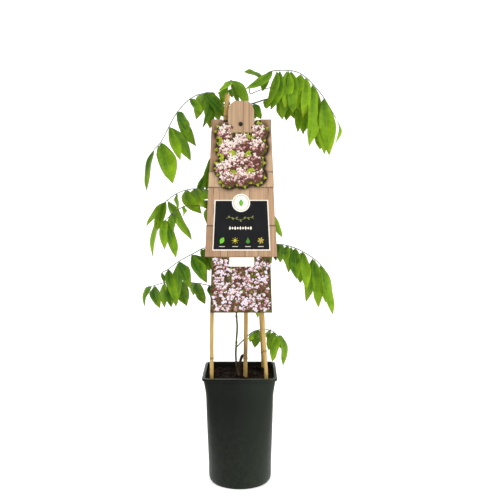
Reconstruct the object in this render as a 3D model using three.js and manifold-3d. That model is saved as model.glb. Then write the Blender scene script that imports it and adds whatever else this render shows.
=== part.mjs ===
// A young wisteria in its square nursery pot: four bamboo canes joined by a clip at the top, a twining
// stem with drooping compound leaves, and a die-cut picture label hung on the clip's peg.
// Units are millimetres and +Z is up. The origin is the centre of the pot's base, and -Y is the front.
import * as THREE from 'three';
import { mergeVertices } from 'three/addons/utils/BufferGeometryUtils.js';
import Module from 'manifold-3d';

const wasm = await Module();
wasm.setup();

// ---------------------------------------------------------------- driving dimensions
const POT_HEIGHT = 207;
const POT_WALL = 1.8;
const POT_BASE_THICKNESS = 2.5;
const LIP_HALF_WIDTH = 67.5;
const LIP_HEIGHT = 5.2;
const LIP_CORNER = 13;
const LIP_ROUNDING = 1.2;
const CORNER_STEPS = 4;
const CORNER_NUDGE = 0.0005;
// The pot's wall, from the base up: height, half width, corner radius. It starts round and ends square.
const POT_PROFILE = [
  [0, 54.8, 54.8],
  [3, 57.2, 57.2],
  [40, 58.2, 46],
  [90, 59.2, 32],
  [140, 60.2, 20],
  [172, 60.8, 14],
  [186, 62.2, 12],
  [198, 64.2, 12],
];
const DRAIN_HOLES = 8;
const DRAIN_RADIUS = 4;
const DRAIN_CIRCLE = 40;

const SOIL_TOP = 197.5;
const SOIL_GAP = 0.35;
const SOIL_RINGS = 5;
const SOIL_LUMP = 1.5;
const HOLE_CLEARANCE = 0.65;
const FOOT_GAP = 1;

const CANE_RADIUS = 3.7;
const CANE_JOINT_SWELL = 0.6;
const CANE_SIDES = 8;
const STEM_RADIUS = 1.6;
const STEM_SIDES = 5;
const STEM_STEPS = 58;
const TRUNK_RADIUS = 3.1;
const TRUNK_SHARES = [0, 0.3, 0.55, 0.66, 0.74, 0.8, 0.86, 0.91, 0.97, 1];
const TRUNK_END_NARROWING = 0.6;
const RACHIS_RADIUS = 1.15;
const RACHIS_TIP_RADIUS = 0.85;
const RACHIS_SIDES = 5;
const LEAF_BASE_RADIUS = 1.9;
const LEAF_BASE_LENGTH = 6;
const TOUCH_GAP = 0.35;

const CLIP_HEIGHT = 655;
const CLIP_PLATE = 3.5;
const CLIP_COLLAR = 8;
const CLIP_COLLAR_RADIUS = 6.6;
const CLIP_DISC_RADIUS = 27;
const CLIP_ARM_WIDTH = 9;
const CLIP_CENTRE = [5, -16];
const PEG_RADIUS = 2;
const PEG_HEAD_RADIUS = 3.7;
const PEG_HEAD_LENGTH = 2;

const LABEL_THICKNESS = 1.1;
const LABEL_FOOT = [0, -54.5, 324.5];
const LABEL_TILT = 1.6;
const LABEL_HOLE = [2.6, 331.5];
const LABEL_HOLE_RADIUS = 2.6;

const BLADE_THICKNESS = 0.7;
const BLADE_ROOT = { halfWidth: 0.6, thickness: 1 };
const BLADE_ARCH = 0.13;
const BLADE_ARCH_PLACE = 0.45;
const BLADE_STATIONS = [0.18, 0.48, 0.8];
const FACE_OUTWARD = 0.8;
const FACE_UPWARD = 0.55;
const LAST_PLACE = 0.995;

// ---------------------------------------------------------------- finishes
const finish = (color, roughness, metalness = 0) =>
  new THREE.MeshStandardMaterial({ color, roughness, metalness });

const FINISH = {
  pot: finish(0x23261f, 0.42),
  soil: finish(0x22170f, 0.95),
  bamboo: finish(0xcda555, 0.45),
  clip: finish(0x141412, 0.5),
  label: finish(0xc09a76, 0.55),
  bark: finish(0x6f7356, 0.7),
  leafBright: finish(0x6ea01e, 0.5),
  leafDeep: finish(0x4f8a1d, 0.5),
};

// ---------------------------------------------------------------- shared geometry helpers
const FRAME_STEPS = 400;
const HOLE_SIDES = 10;
const CUT_PAST = 2;
const point = ([x, y, z]) => new THREE.Vector3(x, y, z);
const degrees = THREE.MathUtils.degToRad;

// Closed mesh through rings of equal length, with a flat fan over each end.
// For a blade, the second half of each ring is split the other way, so that both its faces agree.
function loft(rings, blade = false) {
  const size = rings[0].length;
  const positions = rings.flat().flatMap((p) => [p.x, p.y, p.z]);
  const index = [];
  for (let r = 0; r < rings.length - 1; r++) {
    for (let k = 0; k < size; k++) {
      const a = r * size + k;
      const b = r * size + ((k + 1) % size);
      const c = b + size;
      const d = a + size;
      if (blade && k >= size / 2) index.push(a, b, d, b, c, d);
      else index.push(a, b, c, a, c, d);
    }
  }
  const last = (rings.length - 1) * size;
  for (let k = 1; k < size - 1; k++) {
    index.push(0, k + 1, k);
    index.push(last, last + k, last + k + 1);
  }
  const geometry = new THREE.BufferGeometry();
  geometry.setAttribute('position', new THREE.Float32BufferAttribute(positions, 3));
  geometry.setIndex(index);
  return geometry;
}

// Solid of a closed mesh, with its shared corners merged and the slivers that leaves dropped.
function solid(geometry) {
  const bare = geometry.clone();
  bare.deleteAttribute('normal');
  bare.deleteAttribute('uv');
  const merged = mergeVertices(bare, 1e-4);
  const triangles = [];
  for (let i = 0; i < merged.index.count; i += 3) {
    const [a, b, c] = merged.index.array.slice(i, i + 3);
    if (a !== b && b !== c && c !== a) triangles.push(a, b, c);
  }
  return new wasm.Manifold(new wasm.Mesh({
    numProp: 3,
    vertProperties: new Float32Array(merged.attributes.position.array),
    triVerts: new Uint32Array(triangles),
  }));
}

function geometryOf(body) {
  const { vertProperties, triVerts } = body.getMesh();
  const geometry = new THREE.BufferGeometry();
  geometry.setAttribute('position', new THREE.BufferAttribute(vertProperties, 3));
  geometry.setIndex(new THREE.BufferAttribute(triVerts, 1));
  return geometry;
}

function join(bodies) {
  return bodies.reduce((whole, body) => whole.add(body));
}

// Upright round body between two heights, either part of a piece or the drill of a hole.
function upright([x, y], radius, bottom, top, sides = HOLE_SIDES) {
  const cylinder = new THREE.CylinderGeometry(radius, radius, top - bottom, sides);
  return solid(cylinder.rotateX(Math.PI / 2).translate(x, y, (bottom + top) / 2));
}

function part(name, geometry, material) {
  const mesh = new THREE.Mesh(geometry, material);
  mesh.name = name;
  return mesh;
}

const smooth = (route) => new THREE.CatmullRomCurve3(route.map(point), false, 'centripetal');
const evenShares = (steps) => Array.from({ length: steps + 1 }, (_, i) => i / steps);

// Round rod along a smooth route, with a ring at each of the given shares of its length.
function rod(route, radiusAt, sides, shares) {
  const curve = smooth(route);
  const frames = curve.computeFrenetFrames(FRAME_STEPS, false);
  return loft(shares.map((share) => {
    const centre = curve.getPointAt(share);
    const frame = Math.round(share * FRAME_STEPS);
    return Array.from({ length: sides }, (_, k) => {
      const angle = (2 * Math.PI * k) / sides;
      return centre.clone()
        .addScaledVector(frames.normals[frame], radiusAt(share) * Math.cos(angle))
        .addScaledVector(frames.binormals[frame], radiusAt(share) * Math.sin(angle));
    });
  }));
}

// Square with rounded corners at one height; a radius equal to the half width makes a circle, where
// the nudge keeps the ends of neighbouring corners apart.
function roundedSquare(halfWidth, cornerRadius, height) {
  const ring = [];
  for (let corner = 0; corner < 4; corner++) {
    const signX = corner === 0 || corner === 3 ? 1 : -1;
    const signY = corner < 2 ? 1 : -1;
    const reach = halfWidth - cornerRadius;
    for (let k = 0; k <= CORNER_STEPS; k++) {
      const share = THREE.MathUtils.lerp(CORNER_NUDGE, 1 - CORNER_NUDGE, k / CORNER_STEPS);
      const angle = (Math.PI / 2) * (corner + share);
      ring.push(new THREE.Vector3(
        signX * reach + cornerRadius * Math.cos(angle),
        signY * reach + cornerRadius * Math.sin(angle),
        height,
      ));
    }
  }
  return ring;
}

// Value between the rows of a table whose first column rises.
function between(table, at, column) {
  const upper = table.findIndex((row) => row[0] >= at);
  if (upper <= 0) return table[upper === 0 ? 0 : table.length - 1][column];
  const low = table[upper - 1];
  const high = table[upper];
  const share = (at - low[0]) / (high[0] - low[0]);
  return low[column] + (high[column] - low[column]) * share;
}

// Evenly spread numbers from -0.5 to 0.5 that never repeat: the variation between like leaflets.
const GOLDEN = 0.618034;
const spread = (number) => ((number * GOLDEN) % 1) - 0.5;

// ---------------------------------------------------------------- pot and soil
function potShell() {
  const outside = POT_PROFILE.map(([z, half, corner]) => roundedSquare(half, corner, z));
  const [wallTop, topHalf, topCorner] = POT_PROFILE.at(-1);
  const lipBottom = POT_HEIGHT - LIP_HEIGHT;
  const lip = (inset, height) => roundedSquare(LIP_HALF_WIDTH - inset, LIP_CORNER - inset, height);
  outside.push(
    roundedSquare(topHalf, topCorner, lipBottom),
    lip(LIP_ROUNDING / 2, lipBottom),
    lip(0, lipBottom + LIP_ROUNDING),
    lip(0, POT_HEIGHT - LIP_ROUNDING),
    lip(LIP_ROUNDING, POT_HEIGHT),
  );
  const cavity = [...soilRings(0), insideRing(wallTop, 0), insideRing(POT_HEIGHT + CUT_PAST, 0)];
  const holes = [];
  for (let k = 0; k < DRAIN_HOLES; k++) {
    const angle = (2 * Math.PI * (k + 0.5)) / DRAIN_HOLES;
    const centre = [DRAIN_CIRCLE * Math.cos(angle), DRAIN_CIRCLE * Math.sin(angle)];
    holes.push(upright(centre, DRAIN_RADIUS, -CUT_PAST, POT_BASE_THICKNESS + CUT_PAST));
  }
  return solid(loft(outside)).subtract(solid(loft(cavity))).subtract(join(holes));
}

function insideRing(height, gap) {
  const half = between(POT_PROFILE, height, 1) - POT_WALL - gap;
  const corner = Math.min(half, between(POT_PROFILE, height, 2) - POT_WALL - gap);
  return roundedSquare(half, corner, height);
}

// Rings of the pot's inside, from its floor to just under the soil's top.
function soilRings(gap) {
  const rings = [insideRing(POT_BASE_THICKNESS + gap, gap)];
  for (const [height] of POT_PROFILE.slice(2, -1)) rings.push(insideRing(height, gap));
  return rings;
}

const soilLump = (x, y) =>
  SOIL_LUMP * (Math.sin(0.21 * x + 1.3) * Math.cos(0.17 * y - 0.4) + 0.6 * Math.sin(0.43 * x - 0.37 * y));

function soilBody() {
  const rings = soilRings(SOIL_GAP);
  rings.push(insideRing(SOIL_TOP - 2, SOIL_GAP));
  const edge = rings.at(-1);
  for (let r = 0; r < SOIL_RINGS; r++) {
    const share = 1 - (r + 0.25) / SOIL_RINGS;
    rings.push(edge.map((p) => new THREE.Vector3(
      p.x * share,
      p.y * share,
      SOIL_TOP + soilLump(p.x * share, p.y * share) * Math.min(1, 3 * (1 - share) + 0.3),
    )));
  }
  const caneHole = CANE_RADIUS + HOLE_CLEARANCE;
  const trunkHole = TRUNK_RADIUS + HOLE_CLEARANCE;
  const holes = CANES.map(({ foot, bottom }) => upright(foot, caneHole, bottom - FOOT_GAP, POT_HEIGHT));
  holes.push(upright(TRUNK[0], trunkHole, TRUNK[0][2] - FOOT_GAP, POT_HEIGHT));
  return solid(loft(rings)).subtract(join(holes));
}

// ---------------------------------------------------------------- canes
// foot is where a cane enters the soil, and route gives it above the soil, up to its tip.
const CANES = [
  {
    name: 'cane_front_left',
    foot: [-50, -50],
    bottom: 152,
    route: [[-49, -48.5, 323], [-40, -43.5, 500], [-24.5, -37, 660], [-20.5, -35.5, 709]],
    joints: [0.16, 0.36, 0.55, 0.76, 0.93],
  },
  {
    name: 'cane_front_right',
    foot: [48, -50],
    bottom: 152,
    route: [[41, -48.5, 323], [37.5, -43.5, 500], [34, -38, 664]],
    joints: [0.2, 0.43, 0.66, 0.88],
  },
  {
    name: 'cane_back_right',
    foot: [44, 48],
    bottom: 152,
    route: [[39, 40, 310], [31.5, 21, 500], [24, 4, 660], [23.5, 3, 672]],
    joints: [0.15, 0.38, 0.6, 0.83],
  },
  {
    name: 'cane_centre',
    foot: [10, -19],
    bottom: 120,
    route: [[11.4, -19, 323], [12.2, -19, 500], [13, -19, 660], [13.2, -19, 688]],
    joints: [0.2, 0.41, 0.61, 0.8],
  },
];
const UPRIGHT_HEIGHTS = [176, 190, 204];
const CANE_JOINT_SHARE = 0.005;

// A cane is upright through the soil and a little thicker at its joints.
function caneBody({ foot, bottom, route, joints }) {
  const buried = [bottom, ...UPRIGHT_HEIGHTS].map((height) => [...foot, height]);
  const path = buried.concat(route);
  const soilShare = (buried.at(-1)[2] - bottom) / smooth(path).getLength();
  const besideJoints = joints.flatMap((joint) => [joint - CANE_JOINT_SHARE, joint + CANE_JOINT_SHARE]);
  const shares = [0, soilShare, ...joints, ...besideJoints, 1].sort((a, b) => a - b);
  const radiusAt = (share) => CANE_RADIUS + (joints.includes(share) ? CANE_JOINT_SWELL : 0);
  return rod(path, radiusAt, CANE_SIDES, shares);
}

// ---------------------------------------------------------------- clip that joins the canes
const CLIP_HOLES = [[-24.5, -37], [34, -38], [24.2, 4.3], [13, -19]];

function clipBody() {
  const top = CLIP_HEIGHT + CLIP_PLATE;
  const armHeight = CLIP_HEIGHT + CLIP_PLATE / 2;
  const [centreX, centreY] = CLIP_CENTRE;
  let body = upright(CLIP_CENTRE, CLIP_DISC_RADIUS, CLIP_HEIGHT, top, 24);
  for (const [x, y] of CLIP_HOLES.slice(0, 3)) {
    const arm = new THREE.BoxGeometry(Math.hypot(x - centreX, y - centreY), CLIP_ARM_WIDTH, CLIP_PLATE);
    arm.rotateZ(Math.atan2(y - centreY, x - centreX));
    arm.translate((x + centreX) / 2, (y + centreY) / 2, armHeight);
    body = body.add(solid(arm));
    body = body.add(upright([x, y], CLIP_COLLAR_RADIUS, CLIP_HEIGHT, CLIP_HEIGHT + CLIP_COLLAR, 12));
  }
  const hole = CANE_RADIUS + CANE_JOINT_SWELL + TOUCH_GAP;
  const drillTop = top + CLIP_COLLAR;
  const drills = CLIP_HOLES.map((centre) => upright(centre, hole, CLIP_HEIGHT - CUT_PAST, drillTop));
  return body.add(clipPeg()).subtract(join(drills));
}

// The peg reaches forward from the disc through the label's hole, and its head holds the label.
function clipPeg() {
  const labelFront = LABEL_FOOT[1] + LABEL_HOLE[1] * Math.sin(degrees(LABEL_TILT)) - LABEL_THICKNESS;
  const height = LABEL_FOOT[2] + LABEL_HOLE[1] * Math.cos(degrees(LABEL_TILT));
  const lying = (radius, front, back, sides) => solid(
    new THREE.CylinderGeometry(radius, radius, back - front, sides)
      .translate(LABEL_HOLE[0], (front + back) / 2, height),
  );
  const headBack = labelFront - TOUCH_GAP;
  const headFront = headBack - PEG_HEAD_LENGTH;
  const head = lying(PEG_HEAD_RADIUS, headFront, headBack, 12);
  return head.add(lying(PEG_RADIUS, headFront + PEG_HEAD_LENGTH / 2, CLIP_CENTRE[1], 8));
}

// ---------------------------------------------------------------- label
// The card's outline is drawn flat: x across it, y up from its bottom edge. The planks widen downwards,
// and each one stands out a little past the plank above it.
const STRIP = { bottom: [-52.3, 57.9], top: [-48.7, 54.6], height: 99.5 };
const PLANKS = [
  { bottom: 99.5, left: -61, right: 66.7 },
  { bottom: 155.5, left: -57.6, right: 63.2 },
  { bottom: 222.5, left: -54.3, right: 61 },
  { bottom: 249.5, left: -52.4, right: 59.4 },
  { bottom: 319, left: -48.6, right: 55.8 },
];
const PLANK_SLOPE = 0.048;
const CARD_TOP = 340;
const LEFT_EAR_EDGE = -29.5;
const RIGHT_EAR_EDGE = 38;
const EAR_SLANT = 1.5;
const TAB = { left: -20, right: 26, leftFoot: 335, rightFoot: 330, shoulder: 353, top: 372 };
const TAB_CORNER = 13;
const TAB_CORNER_INSET = 3;
const NOTCH_DROP = 1;

function labelCard() {
  const card = new THREE.Shape();
  card.moveTo(STRIP.bottom[0], 0);
  card.lineTo(STRIP.bottom[1], 0);
  card.lineTo(STRIP.top[1], STRIP.height);
  PLANKS.forEach(({ bottom, right }, i) => {
    const top = PLANKS[i + 1]?.bottom ?? CARD_TOP;
    card.lineTo(right, bottom);
    card.lineTo(right - PLANK_SLOPE * (top - bottom), top);
  });
  const bend = TAB.top - TAB_CORNER_INSET;
  card.lineTo(RIGHT_EAR_EDGE, CARD_TOP);
  card.lineTo(RIGHT_EAR_EDGE - EAR_SLANT, TAB.rightFoot + NOTCH_DROP);
  card.lineTo(TAB.right, TAB.rightFoot);
  card.lineTo(TAB.right, TAB.shoulder);
  card.quadraticCurveTo(TAB.right - TAB_CORNER_INSET, bend, TAB.right - TAB_CORNER, TAB.top);
  card.lineTo(TAB.left + TAB_CORNER, TAB.top);
  card.quadraticCurveTo(TAB.left + TAB_CORNER_INSET, bend, TAB.left, TAB.shoulder);
  card.lineTo(TAB.left, TAB.leftFoot);
  card.lineTo(LEFT_EAR_EDGE + EAR_SLANT, TAB.leftFoot + NOTCH_DROP);
  card.lineTo(LEFT_EAR_EDGE, CARD_TOP);
  [...PLANKS].reverse().forEach(({ bottom, left }, i, planks) => {
    const top = planks[i - 1]?.bottom ?? CARD_TOP;
    card.lineTo(left + PLANK_SLOPE * (top - bottom), top);
    card.lineTo(left, bottom);
  });
  card.lineTo(STRIP.top[0], STRIP.height);
  const hole = new THREE.Path();
  hole.absarc(LABEL_HOLE[0], LABEL_HOLE[1], LABEL_HOLE_RADIUS, 0, 2 * Math.PI, true);
  card.holes.push(hole);
  return new THREE.ExtrudeGeometry(card, {
    depth: LABEL_THICKNESS,
    bevelEnabled: false,
    curveSegments: 6,
  });
}

function hangLabel() {
  const card = part('label_card', labelCard(), FINISH.label);
  card.position.set(...LABEL_FOOT);
  card.rotation.x = degrees(90 - LABEL_TILT);
  return card;
}

// ---------------------------------------------------------------- stem
// The trunk is a short hooked stub: the stem springs from its side just above the soil.
const TRUNK = [
  [-2, -8, 150], [-2, -8, 185], [-2, -8, 203], [0, -8.5, 219], [2.3, -9, 231], [5, -9.5, 237.6],
  [8.2, -10, 234.5],
];
const STEM_START = [
  [-2, -8, 200], [-5, -7, 212], [-7.5, -5, 232], [-6.5, -2, 262], [-5, 0, 290], [-6, 0, 316],
];
const STEM_END = [[-8, 0, 630], [-19, 8, 646], [-22, 5, 668], [-19, -4, 684], [-18, -9, 690]];
const TWIST = { from: 340, to: 606, pitch: 86, phase: 150, radius: 6.6, turnSteps: 8 };

// The stem rises beside the trunk, winds round the centre cane and passes behind the clip.
function stemRoute() {
  const cane = CANES.at(-1).route;
  const axis = (height, column) => between(cane.map(([x, y, z]) => [z, x, y]), height, column);
  const route = [...STEM_START];
  const step = TWIST.pitch / TWIST.turnSteps;
  for (let height = TWIST.from; height <= TWIST.to; height += step) {
    const angle = degrees(TWIST.phase + (360 * (height - TWIST.from)) / TWIST.pitch);
    route.push([
      axis(height, 1) + TWIST.radius * Math.cos(angle),
      axis(height, 2) + TWIST.radius * Math.sin(angle),
      height,
    ]);
  }
  return route.concat(STEM_END);
}

const STEM_CURVE = smooth(stemRoute());

function stemBody() {
  const trunkRadius = (share) => TRUNK_RADIUS * (share === 1 ? TRUNK_END_NARROWING : 1);
  const trunk = solid(rod(TRUNK, trunkRadius, CANE_SIDES, TRUNK_SHARES));
  return trunk.add(solid(rod(stemRoute(), () => STEM_RADIUS, STEM_SIDES, evenShares(STEM_STEPS))));
}

// Share of the stem's length at which it has climbed to a height.
function stemShare(height) {
  let low = 0;
  let high = 1;
  for (let k = 0; k < 24; k++) {
    const middle = (low + high) / 2;
    if (STEM_CURVE.getPointAt(middle).z < height) low = middle;
    else high = middle;
  }
  return low;
}

// ---------------------------------------------------------------- leaflets
// Half width of a leaflet at a share of its length: narrow base, widest just past the middle.
const leafletWidth = (share) => 3.02 * share ** 0.85 * (1 - share) ** 0.75;

// base is where it joins, axis runs to its tip and face is the way its upper side looks.
// bow bends it sideways in its own plane, as a share of its length.
function leaflet(base, axis, face, length, width, bow) {
  const tip = base.clone().addScaledVector(axis, length);
  const bend = base.clone().addScaledVector(axis, BLADE_ARCH_PLACE * length);
  const across = new THREE.Vector3().crossVectors(axis, face);
  bend.addScaledVector(face, BLADE_ARCH * length).addScaledVector(across, bow * length);
  const spine = new THREE.QuadraticBezierCurve3(base, bend, tip);
  const ringAt = (share, half, thickness) => {
    const centre = spine.getPoint(share);
    const upper = new THREE.Vector3().crossVectors(across, spine.getTangent(share)).normalize();
    const corner = (side, height) => centre.clone()
      .addScaledVector(across, side * half)
      .addScaledVector(upper, height);
    const top = thickness / 2;
    return [corner(-1, top), corner(1, top), corner(1, -top), corner(-1, -top)];
  };
  const rings = [ringAt(0, BLADE_ROOT.halfWidth, BLADE_ROOT.thickness)];
  for (const share of BLADE_STATIONS) {
    rings.push(ringAt(share, (width / 2) * leafletWidth(share), BLADE_THICKNESS));
  }
  rings.push(ringAt(1, 0, BLADE_THICKNESS));
  return loft(rings, true);
}

// ---------------------------------------------------------------- fronds
// leaves: height on the stem where the leaf stalk starts. route: the stalk beyond it, in space.
// leaflets: place along the route (0 to 1), length, width, and three turns in degrees: lean outwards
// from hanging straight down, swing to the right seen from the stem, and turn about its own midrib.
// A seventh number bows the leaflet sideways.
const FRONDS = [
  {
    name: 'frond_upper_left',
    leaves: 684,
    route: [[-33, -5, 699], [-47, -9, 711], [-67, -13, 712], [-87, -18, 703], [-110, -24, 679],
      [-125, -30, 652], [-139, -35, 625], [-150, -38, 613]],
    leaflets: [
      [0.21, 66, 21, -26, 42, 0], [0.23, 65, 15, 16, -10, -36, -0.11], [0.24, 63, 20, -4, 14, 8],
      [0.27, 66, 21, 12, 49, 16, -0.08], [0.29, 59, 21, -39, -18, 28, -0.13],
      [0.3, 37, 14, -82, 35, 12], [0.43, 40, 14, -33, -38, 24, -0.04], [0.59, 60, 19, -15, -43, 12],
      [0.59, 70, 19, -29, 5, -4, -0.11], [0.75, 66, 17, -15, -19, 12],
      [0.75, 72, 21, -33, 4, -4, 0.08], [0.91, 78, 31, -13, -16, 8],
      [0.95, 55, 14, -18, 36, -20, 0.07], [1, 77, 18, 12, -9, 52, 0.05],
    ],
  },
  {
    name: 'frond_mid_left',
    leaves: 515,
    route: [[-36, 2, 535], [-62, 6, 541], [-82, 9, 543], [-101, 13, 540], [-120, 17, 532],
      [-138, 22, 519]],
    leaflets: [
      [0.37, 39, 15, 62, 37, 16, -0.12], [0.46, 31, 16, 39, 42, 0, -0.04],
      [0.57, 50, 16, 44, 31, 0, -0.04], [0.6, 50, 16, -40, -38, 8, -0.07],
      [0.7, 60, 24, -40, -22, -4, 0.25], [0.71, 50, 15, 7, 41, -16, -0.18],
      [0.84, 40, 14, -21, -34, 44, -0.24], [0.97, 89, 21, -26, 19, -4, -0.13],
      [0.99, 60, 19, 11, -21, -16, 0.06], [1, 66, 16, 43, 10, -32, 0.05], [1, 109, 26, 8, -15, 44],
    ],
  },
  {
    name: 'frond_mid_left_low',
    leaves: 498,
    route: [[-32, -13, 509], [-59, -19, 511], [-78, -23, 513], [-99, -27, 512], [-117, -31, 501],
      [-132, -34, 488]],
    leaflets: [
      [0.28, 60, 18, 102, -33, -32], [0.46, 50, 16, -9, 36, 0], [0.73, 25, 14, 10, -44, -60, 0.26],
      [0.85, 50, 14, 9, 36, 4, -0.08], [0.9, 50, 14, 6, 17, 4], [0.99, 66, 16, 5, -40, -20, 0.17],
      [1, 71, 18, -14, -14, 0],
    ],
  },
  {
    name: 'frond_low_left',
    leaves: 424,
    route: [[-32, -12, 432], [-63, -22, 437], [-80, -28, 429], [-107, -34, 415], [-128, -38, 400],
      [-139, -40, 394]],
    leaflets: [
      [0.28, 55, 15, -22, 28, 0], [0.46, 46, 16, -22, -10, 12], [0.49, 45, 14, -26, 34, -4],
      [0.62, 50, 15, -49, 14, -20, 0.04], [0.62, 59, 22, -28, -19, 12], [0.77, 66, 20, -19, -47, 4],
      [0.78, 76, 18, 1, 10, -4], [0.91, 66, 18, -13, -25, 0, 0.1], [0.92, 43, 16, -7, 9, 0],
      [1, 40, 14, -9, -43, -56, 0.29],
    ],
  },
  {
    name: 'frond_lowest_left',
    leaves: 342,
    route: [[-29, 6, 356], [-54, 12, 363], [-71, 17, 366], [-94, 23, 368], [-122, 29, 369],
      [-147, 34, 365], [-166, 38, 359]],
    leaflets: [
      [0.22, 55, 15, -2, 33, -20], [0.4, 30, 14, -24, -3, 8, -0.04], [0.54, 60, 19, -46, -39, 4],
      [0.55, 45, 14, 28, 43, -8, -0.07], [0.69, 64, 24, -37, -42, 0], [0.7, 55, 19, 17, 33, -12],
      [0.79, 63, 21, -24, -45, -8], [0.79, 66, 16, 8, 34, -8], [0.86, 55, 16, 11, 19, -12, -0.09],
      [0.98, 61, 19, -40, -41, 0, 0.04], [1, 46, 14, 25, 3, 36, -0.6],
    ],
  },
  {
    name: 'frond_upper_right',
    leaves: 676,
    route: [[-3, -8, 705], [7, -5, 719], [19, -4, 726], [31, -4, 734], [44, -4, 745], [54, -3, 752],
      [69, 1, 755], [89, 8, 756], [106, 13, 753], [120, 17, 745], [135, 20, 731], [154, 24, 709],
      [168, 27, 687], [177, 28, 672]],
    leaflets: [
      [0.34, 45, 14, -114, -44, -8], [0.38, 45, 15, -6, -51, 8], [0.42, 66, 16, -56, 19, -8, -0.21],
      [0.45, 72, 17, -18, 5, 28, -0.28], [0.47, 74, 20, -14, 6, 0, -0.15], [0.52, 89, 23, -4, -8, 8],
      [0.53, 69, 22, -7, 7, 0, -0.04], [0.55, 77, 23, 1, 7, 4], [0.62, 70, 25, 2, -7, 8],
      [0.62, 71, 24, -13, 6, 0], [0.66, 76, 20, -6, 11, 0, -0.05], [0.72, 116, 28, -4, 7, -24],
      [0.73, 95, 23, 6, -6, -8, 0.12], [0.84, 104, 25, 3, -7, -4], [0.84, 107, 30, 4, 9, 8],
      [0.92, 77, 20, 3, -6, 8], [1, 50, 14, -5, 5, -56, -0.6],
    ],
  },
  {
    name: 'frond_upper_right_under',
    leaves: 668,
    route: [[12, -9, 691], [28, -4, 697], [48, 14, 705], [69, 38, 711], [92, 54, 712], [113, 63, 705],
      [134, 67, 690], [150, 70, 672]],
    leaflets: [
      [0.23, 28, 14, 25, -6, -12, 0.05], [0.26, 32, 14, 20, 18, 28], [0.41, 19, 14, 11, -28, 0, 0.04],
      [0.47, 22, 14, -34, 2, 12], [0.56, 31, 14, -11, 11, -32, 0.16], [0.58, 41, 17, 10, -11, 16],
      [0.66, 44, 17, -8, 6, 12], [0.69, 38, 21, 13, -10, 16], [0.77, 58, 17, -6, 6, 16],
      [0.79, 60, 17, 9, -11, 16], [0.87, 44, 14, -13, 4, 4], [0.89, 54, 19, 19, -8, 12],
      [0.99, 58, 21, 0, 8, 20],
    ],
  },
  {
    name: 'shoot_tip',
    start: [-17.5, -10.5, 693],
    route: [[-20, -15, 708], [-21, -18, 722], [-19, -20, 732], [-14, -22, 735]],
    leaflets: [
      [0.41, 31, 14, -101, 21, 8], [0.52, 23, 14, 63, -13, -28], [0.67, 30, 16, -15, 14, -76, 0.17],
      [0.96, 40, 14, 43, 43, -48, -0.32], [0.99, 44, 14, -9, -20, -32, -0.09],
      [1, 55, 19, 18, -25, -68, 0.2],
    ],
  },
  {
    name: 'frond_mid_right',
    leaves: 412,
    route: [[19, -8, 437], [41, -10, 441], [67, -13, 443], [93, -17, 439], [118, -21, 428],
      [132, -23, 419], [147, -26, 407]],
    leaflets: [
      [0.22, 50, 16, 5, 41, 0], [0.31, 50, 16, 19, -38, -16], [0.47, 44, 14, -2, 51, 28, -0.08],
      [0.51, 45, 16, -6, -36, 0], [0.57, 48, 14, 0, 50, 4], [0.62, 55, 15, -7, -23, 0],
      [0.66, 60, 22, 5, 28, 4], [0.75, 62, 25, -4, -14, 0], [0.77, 68, 18, 5, 11, 0],
      [0.88, 86, 22, -8, -11, 0, 0.08], [0.9, 88, 21, 6, 11, 12, -0.07], [0.99, 76, 18, 8, -13, 0],
      [1, 92, 22, 14, 11, -32, 0.08],
    ],
  },
  {
    name: 'frond_lower_right',
    leaves: 250,
    route: [[13, 38, 262], [26, 58, 268], [40, 66, 270], [54, 69, 269], [65, 71, 264], [74, 72, 256]],
    leaflets: [
      [0.6, 30, 14, -66, 13, -44], [0.62, 40, 14, 9, -39, 0, 0.09], [0.66, 45, 19, 10, -25, 40, -0.05],
      [0.69, 45, 14, 30, -22, 24], [0.82, 37, 14, 38, -36, -4, 0.1], [0.9, 45, 18, 7, -26, 44],
      [0.98, 56, 19, -33, 16, 20, 0.07], [0.99, 45, 17, 37, -10, 12, 0.05],
      [1, 66, 16, 15, -3, 12, 0.33],
    ],
  },
  {
    name: 'frond_behind_left',
    leaves: 590,
    route: [[-22, 22, 610], [-39, 38, 615], [-53, 50, 604], [-61, 60, 582]],
    leaflets: [
      [0.4, 52, 17, 6, -44, 0], [0.44, 55, 17, 8, 40, 0], [0.62, 58, 17, 12, 40, 0],
      [0.79, 69, 17, -1, -13, -44], [0.93, 50, 15, -1, 13, -44], [1, 71, 17, 11, -19, -16, -0.17],
    ],
  },
  {
    name: 'frond_behind_right',
    leaves: 488,
    route: [[15, 24, 511], [32, 42, 518], [47, 52, 512], [57, 57, 500]],
    leaflets: [
      [0.38, 55, 17, 4, -42, 0], [0.58, 58, 17, 0, -44, 0], [0.8, 56, 17, 2, -40, 0],
      [0.93, 50, 15, -29, 10, 36], [1, 60, 14, 28, 12, 48, 0.08],
    ],
  },
  {
    name: 'frond_behind_low',
    leaves: 322,
    route: [[6, 28, 353], [15, 52, 359], [24, 66, 356], [32, 74, 346]],
    leaflets: [
      [0.45, 50, 16, 8, -46, 0], [0.7, 56, 16, 12, -44, 0], [0.88, 50, 17, 2, 40, 0],
      [0.9, 50, 17, 2, -36, 0], [0.94, 59, 14, -5, 8, 44, 0.04], [1, 50, 16, 4, 4, 20],
    ],
  },
  {
    name: 'frond_behind_upper',
    leaves: 604,
    route: [[4, 34, 634], [8, 72, 648], [10, 110, 634], [12, 140, 596]],
    pairs: { first: 0.36, count: 5, length: 62, width: 19 },
  },
  {
    name: 'frond_behind_mid',
    leaves: 432,
    route: [[1, 38, 462], [-1, 84, 472], [-3, 126, 452], [-4, 150, 414]],
    pairs: { first: 0.3, count: 5, length: 64, width: 19 },
  },
];

// Rule for a whole frond: opposite pairs of leaflets, longest in the middle, and one at the tip.
const PAIR = { smallest: 0.74, lean: 16, swing: 42, variation: 16 };
const END_LEAFLET = { size: 0.9, lean: 38, swing: 6, turn: 15 };

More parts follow.
